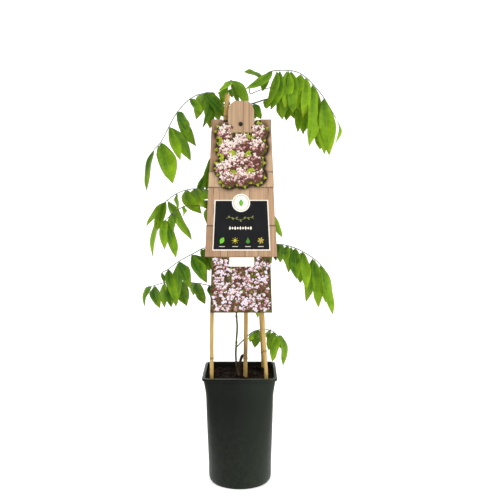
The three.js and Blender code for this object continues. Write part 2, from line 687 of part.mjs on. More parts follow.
function pairedLeaflets({ first, count, length, width }) {
  const rows = [];
  for (let k = 0; k < count; k++) {
    const place = THREE.MathUtils.lerp(first, 1, k / count);
    const size = THREE.MathUtils.lerp(PAIR.smallest, 1, Math.sin((Math.PI * (k + 0.7)) / count));
    for (const side of [-1, 1]) {
      const vary = PAIR.variation * spread(2 * k + (side + 3) / 2);
      rows.push([place, length * size, width * size, PAIR.lean + vary, side * (PAIR.swing + vary), vary]);
    }
  }
  const { size, lean, swing, turn } = END_LEAFLET;
  rows.push([1, size * length, size * width, lean, swing, turn]);
  return rows;
}

function frondBody({ leaves, start, route, leaflets, pairs }) {
  const origin = start ? point(start) : leafBase(stemShare(leaves), point(route[0]));
  const path = [origin.toArray(), ...route];
  const curve = smooth(path);
  const outward = curve.getPoint(1).sub(curve.getPoint(0)).setZ(0).normalize();
  const up = new THREE.Vector3(0, 0, 1);
  const right = new THREE.Vector3().crossVectors(outward, up);
  const swelling = LEAF_BASE_LENGTH / curve.getLength();
  const stalkRadius = (share) => THREE.MathUtils.lerp(RACHIS_RADIUS, RACHIS_TIP_RADIUS, share);
  const radiusAt = (share) => (share < swelling ? LEAF_BASE_RADIUS : stalkRadius(share));
  const shares = [0, 0.6 * swelling, ...evenShares(2 * route.length).slice(1)];
  const bodies = [solid(rod(path, radiusAt, RACHIS_SIDES, shares))];
  const rows = leaflets ?? pairedLeaflets(pairs);
  for (const [place, length, width, lean, swing, turn, bow = 0] of rows) {
    const base = curve.getPointAt(Math.min(place, LAST_PLACE));
    const axis = up.clone().multiplyScalar(-Math.cos(degrees(lean)))
      .addScaledVector(outward, Math.sin(degrees(lean)))
      .multiplyScalar(Math.cos(degrees(swing)))
      .addScaledVector(right, Math.sin(degrees(swing)));
    const face = right.clone().multiplyScalar(Math.sign(swing) * FACE_OUTWARD);
    face.addScaledVector(up, FACE_UPWARD);
    face.addScaledVector(axis, -face.dot(axis)).normalize().applyAxisAngle(axis, degrees(turn));
    bodies.push(solid(leaflet(base, axis, face, length, width, bow)));
  }
  return join(bodies);
}

// A leaf stalk starts just clear of the stem, on the side that it leaves towards.
function leafBase(share, next) {
  const onStem = STEM_CURVE.getPointAt(share);
  const along = STEM_CURVE.getTangentAt(share);
  const away = next.clone().sub(onStem);
  away.addScaledVector(along, -away.dot(along)).normalize();
  return onStem.addScaledVector(away, STEM_RADIUS + LEAF_BASE_RADIUS + TOUCH_GAP);
}

// ---------------------------------------------------------------- assembly
const plant = new THREE.Group();
plant.add(part('pot', geometryOf(potShell()), FINISH.pot));
plant.add(part('soil', geometryOf(soilBody()), FINISH.soil));
for (const cane of CANES) plant.add(part(cane.name, caneBody(cane), FINISH.bamboo));
plant.add(part('cane_clip', geometryOf(clipBody()), FINISH.clip));
plant.add(part('vine_stem', geometryOf(stemBody()), FINISH.bark));
FRONDS.forEach((frond, i) => {
  plant.add(part(frond.name, geometryOf(frondBody(frond)), i % 2 ? FINISH.leafDeep : FINISH.leafBright));
});
plant.add(hangLabel());

export default plant;
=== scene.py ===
"""A young climbing plant on four canes in its nursery pot, with its printed label."""

import math
import random

import bmesh
import bpy
from mathutils import Matrix, Vector, noise


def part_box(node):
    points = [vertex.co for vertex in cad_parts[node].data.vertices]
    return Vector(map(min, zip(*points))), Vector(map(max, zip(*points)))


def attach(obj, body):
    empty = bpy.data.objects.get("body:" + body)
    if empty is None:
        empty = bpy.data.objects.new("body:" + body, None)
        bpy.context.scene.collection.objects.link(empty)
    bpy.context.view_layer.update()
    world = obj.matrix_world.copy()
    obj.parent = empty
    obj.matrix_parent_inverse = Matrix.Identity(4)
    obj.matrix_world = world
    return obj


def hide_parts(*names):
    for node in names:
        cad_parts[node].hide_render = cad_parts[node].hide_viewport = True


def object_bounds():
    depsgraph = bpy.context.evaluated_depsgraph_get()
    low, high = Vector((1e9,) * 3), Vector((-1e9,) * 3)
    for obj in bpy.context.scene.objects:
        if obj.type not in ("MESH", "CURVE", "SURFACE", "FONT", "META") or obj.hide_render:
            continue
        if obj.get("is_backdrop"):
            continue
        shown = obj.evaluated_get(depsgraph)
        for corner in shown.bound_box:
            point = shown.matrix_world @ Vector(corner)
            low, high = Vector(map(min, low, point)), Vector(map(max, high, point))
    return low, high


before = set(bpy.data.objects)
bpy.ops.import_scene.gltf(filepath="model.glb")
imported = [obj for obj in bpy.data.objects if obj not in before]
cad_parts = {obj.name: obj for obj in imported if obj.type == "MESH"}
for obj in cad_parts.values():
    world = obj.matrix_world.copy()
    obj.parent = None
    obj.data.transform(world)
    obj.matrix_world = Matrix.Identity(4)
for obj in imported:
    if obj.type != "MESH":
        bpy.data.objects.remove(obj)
CAD_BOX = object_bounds()

bl_info = {
    "name": "Climber in a Nursery Pot",
    "version": (1, 0, 0),
    "blender": (4, 5, 0),
    "location": "3D View > Sidebar > Climber",
    "description": "Builds a potted climber: pot, compost, canes, clip, stem, fronds and label",
    "category": "Add Mesh",
}

MM = 0.001
SEED = 7

# ------------------------------------------------------------ driving sizes, in millimetres
POT_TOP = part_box("pot")[1][2] / MM
POT_LIP_HALF_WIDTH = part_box("pot")[1][0] / MM
POT_WALL = 1.8
POT_FLOOR = 2.5
POT_LIP_HEIGHT = 5.2
POT_LIP_CORNER = 13
# The wall from the foot up: half width, corner radius, height. It starts round and ends square.
POT_PROFILE = [
    (54.8, 54.8, 0), (57.2, 57.2, 3), (58.2, 46, 40), (59.2, 32, 90),
    (60.2, 20, 140), (60.8, 14, 172), (62.2, 12, 186), (64.2, 12, 198),
]
POT_CORNER_STEPS = 14
DRAIN_HOLES = 8
DRAIN_RADIUS = 4
DRAIN_CIRCLE = 40

SOIL_TOP = 197.5
SOIL_HALF_WIDTH = 61.5
SOIL_RINGS = 44
# Small mounds of compost where the stem and the centre cane enter: x, y, height, reach.
SOIL_MOUNDS = [(10, -19, 5.5, 11), (-2, -8, 4.5, 12), (46, 46, 3, 10)]
# Large clods beside the back right cane: x, y and size. They sit this far above the compost's level.
CLODS = [(33, 42, 6), (37, 36, 5), (28, 44, 4.5)]
CLOD_LIFT = 3

CANE_RADIUS = 3.7
STEM_RADIUS = 1.7
TRUNK_RADIUS = 3.1
STALK_RADIUS = 1.05
STALK_TIP_RADIUS = 0.75
LEAF_BASE_RADIUS = 1.5
LEAF_BASE_LENGTH = 7

CLIP_HEIGHT = 655
CLIP_PLATE = 3.5
CLIP_COLLAR = 8
CLIP_COLLAR_RADIUS = 6.6
CLIP_DISC_RADIUS = 27
CLIP_ARM_WIDTH = 9
CLIP_CENTRE = (5, -16)
CLIP_HOLES = [(-24.5, -37), (34, -38), (24.2, 4.3)]
PEG_HEAD_RADIUS = 3.7
PEG_RADIUS = 2
PEG_PLACE = (2.6, 656)
PEG_FRONT = -48.7

LABEL_FOOT = (0, -54.5, 324.5)
LABEL_TILT = 1.6
LABEL_THICKNESS = 1.1

# ------------------------------------------------------------ routes, in millimetres
# girth: how thick a cane is at its foot and at its top, as a share of the radius above.
CANES = {
    "cane_front_left": {
        "route": [(-50, -50, 152), (-50, -50, 176), (-50, -50, 190), (-50, -50, 204),
                  (-49, -48.5, 323), (-40, -43.5, 500), (-24.5, -37, 660), (-20.5, -35.5, 709)],
        "joints": [0.16, 0.36, 0.55, 0.76, 0.93],
        "girth": (0.87, 1.17),
    },
    "cane_front_right": {
        "route": [(48, -50, 152), (48, -50, 176), (48, -50, 190), (48, -50, 204),
                  (41, -48.5, 323), (37.5, -43.5, 500), (34, -38, 664)],
        "joints": [0.2, 0.43, 0.66, 0.88],
        "girth": (0.89, 1.05),
    },
    "cane_back_right": {
        "route": [(44, 48, 152), (44, 48, 176), (44, 48, 190), (44, 48, 204),
                  (39, 40, 310), (31.5, 21, 500), (24, 4, 660), (23.5, 3, 672)],
        "joints": [0.15, 0.38, 0.6, 0.83],
        "girth": (0.95, 1.0),
    },
    "cane_centre": {
        "route": [(10, -19, 120), (10, -19, 176), (10, -19, 190), (10, -19, 204),
                  (11.4, -19, 323), (12.2, -19, 500), (13, -19, 660), (13.2, -19, 688)],
        "joints": [0.2, 0.41, 0.61, 0.8],
        "girth": (1.03, 1.03),
        "stain": (226, 290),
    },
}
TRUNK = [
    (-2, -8, 150), (-2, -8, 185), (-2, -8, 203), (0, -8.5, 219), (2.3, -9, 231), (5, -9.5, 237.6),
    (8.2, -10, 234.5),
]
STEM_START = [
    (-2, -8, 200), (-5, -7, 212), (-7.5, -5, 232), (-6.5, -2, 262), (-5, 0, 290), (-6, 0, 316),
]
STEM_END = [(-8, 0, 630), (-19, 8, 646), (-22, 5, 668), (-19, -4, 684), (-18, -9, 690)]
# A thin tendril that springs from the upper right frond's stalk and ends among its first leaves.
TENDRIL = [
    (19, -4, 726), (17.8, -4.6, 720), (17.6, -5, 715.2), (20.5, -5.5, 713), (25.8, -5.5, 715.1),
    (36.6, -4.5, 719.3), (49.2, -4, 722.4), (58.1, -3, 725.1),
]
TWIST_FROM = 340
TWIST_TO = 606
TWIST_PITCH = 86
TWIST_PHASE = 150
TWIST_RADIUS = 6.6
TWIST_STEPS = 8

# leaves: height on the stem where the leaf stalk starts. route: the stalk beyond it, in space.
# leaflets: place along the route (0 to 1), length, width, and three turns in degrees: lean outwards
# from hanging straight down, swing to the right seen from the stem, and turn about its own midrib.
# A seventh number bows the leaflet sideways. Most rows and routes were worked out by a separate
# calculation from measured places, and then rounded; eleven rows behind the label were typed by hand.
FRONDS = {
    "frond_upper_left": {
        "leaves": 684,
        "route": [
            (-33, -5, 699), (-47, -9, 711), (-67, -13, 712), (-87, -18, 703), (-110, -24, 679),
            (-125, -30, 652), (-139, -35, 625), (-150, -38, 613),
        ],
        "leaflets": [
            (0.21, 66, 21, -26, 42, 0), (0.23, 65, 15, 16, -10, -36, -0.11), (0.24, 63, 20, -4, 14, 8),
            (0.27, 66, 21, 12, 49, 16, -0.08), (0.29, 59, 21, -39, -18, 28, -0.13),
            (0.3, 37, 14, -82, 35, 12), (0.43, 40, 14, -33, -38, 24, -0.04),
            (0.59, 60, 19, -15, -43, 12), (0.59, 70, 19, -29, 5, -4, -0.11),
            (0.75, 66, 17, -15, -19, 12), (0.75, 72, 21, -33, 4, -4, 0.08), (0.91, 78, 31, -13, -16, 8),
            (0.95, 55, 14, -18, 36, -20, 0.07), (1, 77, 18, 12, -9, 52, 0.05),
        ],
    },
    "frond_mid_left": {
        "leaves": 515,
        "route": [
            (-36, 2, 535), (-62, 6, 541), (-82, 9, 543), (-101, 13, 540), (-120, 17, 532),
            (-138, 22, 519),
        ],
        "leaflets": [
            (0.37, 39, 15, 62, 37, 16, -0.12), (0.46, 31, 16, 39, 42, 0, -0.04),
            (0.57, 50, 16, 44, 31, 0, -0.04), (0.6, 50, 16, -40, -38, 8, -0.07),
            (0.7, 60, 24, -40, -22, -4, 0.25), (0.71, 50, 15, 7, 41, -16, -0.18),
            (0.84, 40, 14, -21, -34, 44, -0.24), (0.97, 89, 21, -26, 19, -4, -0.13),
            (0.99, 60, 19, 11, -21, -16, 0.06), (1, 66, 16, 43, 10, -32, 0.05),
            (1, 109, 26, 8, -15, 44),
        ],
    },
    "frond_mid_left_low": {
        "leaves": 498,
        "route": [
            (-32, -13, 509), (-59, -19, 511), (-78, -23, 513), (-99, -27, 512), (-117, -31, 501),
            (-132, -34, 488),
        ],
        "leaflets": [
            (0.28, 60, 18, 102, -33, -32), (0.46, 50, 16, -9, 36, 0),
            (0.73, 25, 14, 10, -44, -60, 0.26), (0.85, 50, 14, 9, 36, 4, -0.08),
            (0.9, 50, 14, 6, 17, 4), (0.99, 66, 16, 5, -40, -20, 0.17), (1, 71, 18, -14, -14, 0),
        ],
    },
    "frond_low_left": {
        "leaves": 424,
        "route": [
            (-32, -12, 432), (-63, -22, 437), (-80, -28, 429), (-107, -34, 415), (-128, -38, 400),
            (-139, -40, 394),
        ],
        "leaflets": [
            (0.28, 55, 15, -22, 28, 0), (0.46, 46, 16, -22, -10, 12), (0.49, 45, 14, -26, 34, -4),
            (0.62, 50, 15, -49, 14, -20, 0.04), (0.62, 59, 22, -28, -19, 12),
            (0.77, 66, 20, -19, -47, 4), (0.78, 76, 18, 1, 10, -4), (0.91, 66, 18, -13, -25, 0, 0.1),
            (0.92, 43, 16, -7, 9, 0), (1, 40, 14, -9, -43, -56, 0.29),
        ],
    },
    "frond_lowest_left": {
        "leaves": 342,
        "route": [
            (-29, 6, 356), (-54, 12, 363), (-71, 17, 366), (-94, 23, 368), (-122, 29, 369),
            (-147, 34, 365), (-166, 38, 359),
        ],
        "leaflets": [
            (0.22, 55, 15, -2, 33, -20), (0.4, 30, 14, -24, -3, 8, -0.04), (0.54, 60, 19, -46, -39, 4),
            (0.55, 45, 14, 28, 43, -8, -0.07), (0.69, 64, 24, -37, -42, 0), (0.7, 55, 19, 17, 33, -12),
            (0.79, 63, 21, -24, -45, -8), (0.79, 66, 16, 8, 34, -8), (0.86, 55, 16, 11, 19, -12, -0.09),
            (0.98, 61, 19, -40, -41, 0, 0.04), (1, 46, 14, 25, 3, 36, -0.6),
        ],
    },
    "frond_upper_right": {
        "leaves": 676,
        "route": [
            (-3, -8, 705), (7, -5, 719), (19, -4, 726), (31, -4, 734), (44, -4, 745), (54, -3, 752),
            (69, 1, 755), (89, 8, 756), (106, 13, 753), (120, 17, 745), (135, 20, 731), (154, 24, 709),
            (168, 27, 687), (177, 28, 672),
        ],
        "leaflets": [
            (0.34, 45, 14, -114, -44, -8), (0.38, 45, 15, -6, -51, 8),
            (0.42, 66, 16, -56, 19, -8, -0.21), (0.45, 72, 17, -18, 5, 28, -0.28),
            (0.47, 74, 20, -14, 6, 0, -0.15), (0.52, 89, 23, -4, -8, 8),
            (0.53, 69, 22, -7, 7, 0, -0.04), (0.55, 77, 23, 1, 7, 4), (0.62, 70, 25, 2, -7, 8),
            (0.62, 71, 24, -13, 6, 0), (0.66, 76, 20, -6, 11, 0, -0.05), (0.72, 116, 28, -4, 7, -24),
            (0.73, 95, 23, 6, -6, -8, 0.12), (0.84, 104, 25, 3, -7, -4), (0.84, 107, 30, 4, 9, 8),
            (0.92, 77, 20, 3, -6, 8), (1, 50, 14, -5, 5, -56, -0.6),
        ],
    },
    "frond_upper_right_under": {
        "leaves": 668,
        "route": [
            (12, -9, 691), (28, -4, 697), (48, 14, 705), (69, 38, 711), (92, 54, 712), (113, 63, 705),
            (134, 67, 690), (150, 70, 672),
        ],
        "leaflets": [
            (0.23, 28, 14, 25, -6, -12, 0.05), (0.26, 32, 14, 20, 18, 28),
            (0.41, 19, 14, 11, -28, 0, 0.04), (0.47, 22, 14, -34, 2, 12),
            (0.56, 31, 14, -11, 11, -32, 0.16), (0.58, 41, 17, 10, -11, 16), (0.66, 44, 17, -8, 6, 12),
            (0.69, 38, 21, 13, -10, 16), (0.77, 58, 17, -6, 6, 16), (0.79, 60, 17, 9, -11, 16),
            (0.87, 44, 14, -13, 4, 4), (0.89, 54, 19, 19, -8, 12), (0.99, 58, 21, 0, 8, 20),
        ],
    },
    "shoot_tip": {
        "start": (-17.5, -10.5, 693),
        "route": [
            (-20, -15, 708), (-21, -18, 722), (-19, -20, 732), (-14, -22, 735),
        ],
        "leaflets": [
            (0.41, 31, 14, -101, 21, 8), (0.52, 23, 14, 63, -13, -28),
            (0.67, 30, 16, -15, 14, -76, 0.17), (0.96, 40, 14, 43, 43, -48, -0.32),
            (0.99, 44, 14, -9, -20, -32, -0.09), (1, 55, 19, 18, -25, -68, 0.2),
        ],
    },
    "frond_mid_right": {
        "leaves": 412,
        "route": [
            (19, -8, 437), (41, -10, 441), (67, -13, 443), (93, -17, 439), (118, -21, 428),
            (132, -23, 419), (147, -26, 407),
        ],
        "leaflets": [
            (0.22, 50, 16, 5, 41, 0), (0.31, 50, 16, 19, -38, -16), (0.47, 44, 14, -2, 51, 28, -0.08),
            (0.51, 45, 16, -6, -36, 0), (0.57, 48, 14, 0, 50, 4), (0.62, 55, 15, -7, -23, 0),
            (0.66, 60, 22, 5, 28, 4), (0.75, 62, 25, -4, -14, 0), (0.77, 68, 18, 5, 11, 0),
            (0.88, 86, 22, -8, -11, 0, 0.08), (0.9, 88, 21, 6, 11, 12, -0.07),
            (0.99, 76, 18, 8, -13, 0), (1, 92, 22, 14, 11, -32, 0.08),
        ],
    },
    "frond_lower_right": {
        "leaves": 250,
        "route": [
            (13, 38, 262), (26, 58, 268), (40, 66, 270), (54, 69, 269), (65, 71, 264), (74, 72, 256),
        ],
        "leaflets": [
            (0.6, 30, 14, -66, 13, -44), (0.62, 40, 14, 9, -39, 0, 0.09),
            (0.66, 45, 19, 10, -25, 40, -0.05), (0.69, 45, 14, 30, -22, 24),
            (0.82, 37, 14, 38, -36, -4, 0.1), (0.9, 45, 18, 7, -26, 44),
            (0.98, 56, 19, -33, 16, 20, 0.07), (0.99, 45, 17, 37, -10, 12, 0.05),
            (1, 66, 16, 15, -3, 12, 0.33),
        ],
    },
    "frond_behind_left": {
        "leaves": 590,
        "route": [
            (-22, 22, 610), (-39, 38, 615), (-53, 50, 604), (-61, 60, 582),
        ],
        "leaflets": [
            (0.4, 52, 17, 6, -44, 0), (0.44, 55, 17, 8, 40, 0), (0.62, 58, 17, 12, 40, 0),
            (0.79, 69, 17, -1, -13, -44), (0.93, 50, 15, -1, 13, -44), (1, 71, 17, 11, -19, -16, -0.17),
        ],
    },
    "frond_behind_right": {
        "leaves": 488,
        "route": [
            (15, 24, 511), (32, 42, 518), (47, 52, 512), (57, 57, 500),
        ],
        "leaflets": [
            (0.38, 55, 17, 4, -42, 0), (0.58, 58, 17, 0, -44, 0), (0.8, 56, 17, 2, -40, 0),
            (0.93, 50, 15, -29, 10, 36), (1, 60, 14, 28, 12, 48, 0.08),
        ],
    },
    "frond_behind_low": {
        "leaves": 322,
        "route": [
            (6, 28, 353), (15, 52, 359), (24, 66, 356), (32, 74, 346),
        ],
        "leaflets": [
            (0.45, 50, 16, 8, -46, 0), (0.7, 56, 16, 12, -44, 0), (0.88, 50, 17, 2, 40, 0),
            (0.9, 50, 17, 2, -36, 0), (0.94, 59, 14, -5, 8, 44, 0.04), (1, 50, 16, 4, 4, 20),
        ],
    },
    "frond_behind_upper": {
        "leaves": 604,
        "route": [
            (4, 34, 634), (8, 72, 648), (10, 110, 634), (12, 140, 596),
        ],
        "pairs": {"first": 0.36, "count": 5, "length": 62, "width": 19},
    },
    "frond_behind_mid": {
        "leaves": 432,
        "route": [
            (1, 38, 462), (-1, 84, 472), (-3, 126, 452), (-4, 150, 414),
        ],
        "pairs": {"first": 0.3, "count": 5, "length": 64, "width": 19},
    },
}


# ------------------------------------------------------------ colours
def srgb(red, green, blue):
    """Linear colour, with alpha, of a screen colour given from 0 to 255."""
    def linear(value):
        share = value / 255
        return share / 12.92 if share <= 0.04045 else ((share + 0.055) / 1.055) ** 2.4
    return (linear(red), linear(green), linear(blue), 1.0)


# ------------------------------------------------------------ mesh making
class Surface:
    """Points and faces of one mesh, with what its finish reads: place (three numbers) and mark."""

    def __init__(self):
        self.points = []
        self.faces = []
        self.places = []
        self.marks = []
        self.slots = []

    def add(self, points, faces, places=None, marks=None, slot=0):
        first = len(self.points)
        self.points += [tuple(p) for p in points]
        self.faces += [tuple(first + corner for corner in face) for face in faces]
        self.places += places or [(0.0, 0.0, 0.0)] * len(points)
        self.marks += marks or [0.0] * len(points)
        self.slots += [slot] * len(faces)

    def add_loft(self, rings, places=None, marks=None, slot=0, closed=True):
        """Closed skin through rings of equal length, with a flat cap on each end."""
        size = len(rings[0])
        points = [p for ring in rings for p in ring]
        faces = []
        for r in range(len(rings) - 1):
            for k in range(size):
                a = r * size + k
                b = r * size + (k + 1) % size
                faces.append((a, b, b + size, a + size))
        if closed:
            last = (len(rings) - 1) * size
            faces.append(tuple(range(size - 1, -1, -1)))
            faces.append(tuple(last + k for k in range(size)))
        self.add(points, faces, places, marks, slot)


def make_piece(name, surface, finishes, smooth=True):
    """Object of a surface given in millimetres, at its place in the frame."""
    mesh = bpy.data.meshes.new(name)
    mesh.from_pydata([Vector(p) * MM for p in surface.points], [], surface.faces)
    for finish in finishes:
        mesh.materials.append(finish)
    mesh.polygons.foreach_set("material_index", surface.slots)
    mesh.polygons.foreach_set("use_smooth", [smooth] * len(surface.faces))
    place = mesh.attributes.new("place", "FLOAT_VECTOR", "POINT")
    place.data.foreach_set("vector", [value for triple in surface.places for value in triple])
    mark = mesh.attributes.new("mark", "FLOAT", "POINT")
    mark.data.foreach_set("value", surface.marks)
    mesh.update()
    piece = bpy.data.objects.new(name, mesh)
    bpy.context.scene.collection.objects.link(piece)
    return piece


def seat(piece, slot, *nodes):
    """The piece takes the place of these nodes of the frame, and rides where they do."""
    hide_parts(*nodes)
    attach(piece, "root")
    return piece


def crease(piece, angle):
    """Smooth shading, except along edges sharper than the angle in degrees."""
    mesh = piece.data
    shape = bmesh.new()
    shape.from_mesh(mesh)
    for edge in shape.edges:
        edge.smooth = edge.calc_face_angle(0) < math.radians(angle)
    shape.to_mesh(mesh)
    shape.free()


class Route:
    """Smooth curve through points (centripetal, as in the frame's own source), by share of its length."""

    STEPS = 24

    def __init__(self, points):
        knots = [Vector(p) for p in points]
        knots = [2 * knots[0] - knots[1], *knots, 2 * knots[-1] - knots[-2]]
        self.samples = []
        for k in range(1, len(knots) - 2):
            self.samples += self.segment(*knots[k - 1:k + 3])
        self.samples.append(knots[-2])
        self.lengths = [0.0]
        for before, after in zip(self.samples, self.samples[1:]):
            self.lengths.append(self.lengths[-1] + (after - before).length)
        self.length = self.lengths[-1]

    def segment(self, before, start, end, after):
        gaps = [max((b - a).length, 1e-4) ** 0.5 for a, b in ((before, start), (start, end), (end, after))]
        leaving = (start - before) / gaps[0] - (end - before) / (gaps[0] + gaps[1]) + (end - start) / gaps[1]
        coming = (end - start) / gaps[1] - (after - start) / (gaps[1] + gaps[2]) + (after - end) / gaps[2]
        leaving *= gaps[1]
        coming *= gaps[1]
        found = []
        for step in range(self.STEPS):
            t = step / self.STEPS
            found.append(
                (2 * t ** 3 - 3 * t ** 2 + 1) * start + (t ** 3 - 2 * t ** 2 + t) * leaving
                + (3 * t ** 2 - 2 * t ** 3) * end + (t ** 3 - t ** 2) * coming
            )
        return found

    def at(self, share):
        """Point at a share of the curve's length."""
        target = min(max(share, 0.0), 1.0) * self.length
        low, high = 0, len(self.lengths) - 1
        while high - low > 1:
            middle = (low + high) // 2
            if self.lengths[middle] < target:
                low = middle
            else:
                high = middle
        gap = self.lengths[high] - self.lengths[low]
        return self.samples[low].lerp(self.samples[high], (target - self.lengths[low]) / gap)

    def along(self, share):
        """Direction at a share of the curve's length."""
        return (self.at(share + 0.002) - self.at(share - 0.002)).normalized()

    def share_at_height(self, height):
        low, high = 0.0, 1.0
        for _ in range(24):
            middle = (low + high) / 2
            if self.at(middle).z < height:
                low = middle
            else:
                high = middle
        return low


def even(steps):
    return [k / steps for k in range(steps + 1)]


def add_rod(surface, route, radius_at, sides, shares, tone=0.0, mark_at=None, slot=0, wobble=0.0):
    """Round rod along a route. Its place holds the turn, the length along it in mm, and a tone."""
    normal = route.along(shares[0]).orthogonal().normalized()
    rings, places, marks = [], [], []
    for share in shares:
        along = route.along(share)
        normal = (normal - along * normal.dot(along)).normalized()
        side = along.cross(normal)
        centre = route.at(share)
        ring = []
        for k in range(sides):
            angle = 2 * math.pi * k / sides
            radius = radius_at(share)
            if wobble:
                spot = Vector((math.cos(angle), math.sin(angle), centre.z * 0.06 + tone * 9))
                radius *= 1 + wobble * noise.noise(spot * 1.7)
            ring.append(centre + radius * (math.cos(angle) * normal + math.sin(angle) * side))
            places.append((k / sides, share * route.length, tone))
            marks.append(mark_at(share) if mark_at else 0.0)
        rings.append(ring)
    surface.add_loft(rings, places, marks, slot)


def rounded_square(half_width, corner_radius, height, steps=POT_CORNER_STEPS):
    ring = []
    reach = half_width - corner_radius
    for corner, (sign_x, sign_y) in enumerate(((1, 1), (-1, 1), (-1, -1), (1, -1))):
        for k in range(steps + 1):
            angle = math.pi / 2 * (corner + 0.002 + 0.996 * k / steps)
            ring.append(Vector((
                sign_x * reach + corner_radius * math.cos(angle),
                sign_y * reach + corner_radius * math.sin(angle),
                height,
            )))
    return ring


def flipped(rings):
    return [list(reversed(ring)) for ring in rings]


def spread(number):
    """Evenly spread numbers from -0.5 to 0.5 that never repeat: the variation between like things."""
    return (number * 0.618034) % 1 - 0.5


def smoothstep(low, high, value):
    share = min(max((value - low) / (high - low), 0.0), 1.0)
    return share * share * (3 - 2 * share)


# ------------------------------------------------------------ finish making
class Finish:
    """A material under construction, with short names for the nodes that the finishes use."""

    def __init__(self, name, roughness, **shader_values):
        self.material = bpy.data.materials.new(name)
        self.material.use_nodes = True
        self.tree = self.material.node_tree
        self.shader = self.tree.nodes["Principled BSDF"]
        self.shader.inputs["Roughness"].default_value = roughness
        for socket, value in shader_values.items():
            self.shader.inputs[socket.replace("_", " ")].default_value = value
        self.surface = self.tree.nodes.new("ShaderNodeTexCoord").outputs["Object"]

    def node(self, kind, inputs=None, **settings):
        made = self.tree.nodes.new("ShaderNode" + kind)
        for setting, value in settings.items():
            setattr(made, setting, value)
        for socket, value in (inputs or {}).items():
            if isinstance(value, bpy.types.NodeSocket):
                self.tree.links.new(value, made.inputs[socket])
            else:
                made.inputs[socket].default_value = value
        return made

    def place(self):
        """The three numbers of the mesh's place attribute, as sockets."""
        held = self.node("Attribute", attribute_name="place")
        return self.node("SeparateXYZ", {0: held.outputs["Vector"]}).outputs

    def place_vector(self):
        return self.node("Attribute", attribute_name="place").outputs["Vector"]

    def mark(self):
        return self.node("Attribute", attribute_name="mark").outputs["Fac"]

    def stretched(self, vector, scale):
        return self.node("VectorMath", {0: vector, 1: scale}, operation="MULTIPLY").outputs[0]

    def noise(self, vector, scale, detail=3.0, roughness=0.5):
        values = {"Vector": vector, "Scale": scale, "Detail": detail, "Roughness": roughness}
        return self.node("TexNoise", values).outputs["Fac"]

    def cells(self, vector, scale):
        return self.node("TexVoronoi", {"Vector": vector, "Scale": scale}).outputs

    def range(self, value, low, high, to_low=0.0, to_high=1.0):
        values = {"Value": value, "From Min": low, "From Max": high, "To Min": to_low, "To Max": to_high}
        return self.node("MapRange", values, clamp=True).outputs["Result"]

    def math(self, operation, first, second=0.0):
        return self.node("Math", {0: first, 1: second}, operation=operation).outputs[0]

    def mix(self, share, first, second):
        made = self.node("Mix", data_type="RGBA")
        for socket, value in ((made.inputs[0], share), (made.inputs[6], first), (made.inputs[7], second)):
            if isinstance(value, bpy.types.NodeSocket):
                self.tree.links.new(value, socket)
            else:
                socket.default_value = value
        return made.outputs[2]

    def done(self, colour, bump=None, bump_mm=0.1, strength=0.6, roughness=None):
        self.tree.links.new(colour, self.shader.inputs["Base Color"])
        if bump is not None:
            values = {"Strength": strength, "Distance": bump_mm * MM, "Height": bump}
            raised = self.node("Bump", values).outputs["Normal"]
            self.tree.links.new(raised, self.shader.inputs["Normal"])
        if roughness is not None:
            self.tree.links.new(roughness, self.shader.inputs["Roughness"])
        return self.material


# The pot's right side is painted paler, to stand for light from that side: it isn't a real stain.
# Where across the pot, in metres, this starts and is full, and its share there.
PALER_FROM = -0.01
PALER_TO = 0.06
PALER_SHARE = 0.7


def pot_finish(colour):
    """Moulded plastic: flow streaks up the wall, scuffs, a little dust, splashes with painted light low down,
    a painted paler right, a painted highlight on the rim and painted shade inside.
    """
    finish = Finish("moulded_pot_plastic", 0.4, Specular_IOR_Level=0.12)
    finish.shader.inputs["Specular Tint"].default_value = (0.96, 1.0, 0.93, 1.0)
    streaks = finish.noise(finish.stretched(finish.surface, (60, 60, 5)), 1.0, 4)
    scuffs = finish.noise(finish.surface, 140, 5, 0.6)
    dust = finish.range(finish.noise(finish.surface, 34, 4), 0.5, 0.8, 0.0, 0.25)
    pale = tuple(min(1.0, c * 1.8 + 0.002) for c in colour[:3]) + (1.0,)
    base = finish.mix(finish.math("MULTIPLY", streaks, 0.35), colour, pale)
    base = finish.mix(dust, base, srgb(30, 34, 26))
    height = finish.node("SeparateXYZ", {0: finish.surface}).outputs["Z"]
    # Paler in patches towards the foot: partly splashes, partly painted light.
    low_down = finish.range(height, 0.16, 0.02, 0.0, 0.6)
    splash_and_light = finish.math("MULTIPLY", low_down, finish.range(scuffs, 0.2, 0.8))
    base = finish.mix(splash_and_light, base, srgb(50, 56, 46))
    side = finish.node("SeparateXYZ", {0: finish.surface}).outputs["X"]
    base = finish.mix(finish.range(side, PALER_FROM, PALER_TO, 0.0, PALER_SHARE), base, srgb(42, 49, 40))
    # Painted shade: the inside of the wall, by its mark, is near black.
    base = finish.mix(finish.mark(), base, srgb(5, 6, 5))
    # Painted highlight: the rim's marked top edges are painted paler.
    base = finish.mix(finish.place()[0], base, srgb(92, 94, 84))
    rough = finish.range(scuffs, 0.3, 0.7, 0.33, 0.5)
    return finish.done(base, scuffs, 0.05, 0.25, rough)


def compost_finish(colour):
    """Dark crumbly peat with brown and rusty bits."""
    finish = Finish("compost_crumbs", 0.95, Specular_IOR_Level=0.1)
    tone = finish.place()[2]
    crumbs = finish.cells(finish.surface, 420)
    rusty = finish.range(finish.noise(finish.surface, 120, 3), 0.55, 0.7)
    brown = finish.mix(tone, colour, srgb(74, 48, 24))
    base = finish.mix(finish.math("MULTIPLY", rusty, 0.4), brown, srgb(104, 60, 22))
    dark = finish.range(finish.noise(finish.surface, 260, 4), 0.4, 0.66)
    base = finish.mix(dark, srgb(8, 6, 4), base)
    return finish.done(base, crumbs["Distance"], 0.9, 0.8)


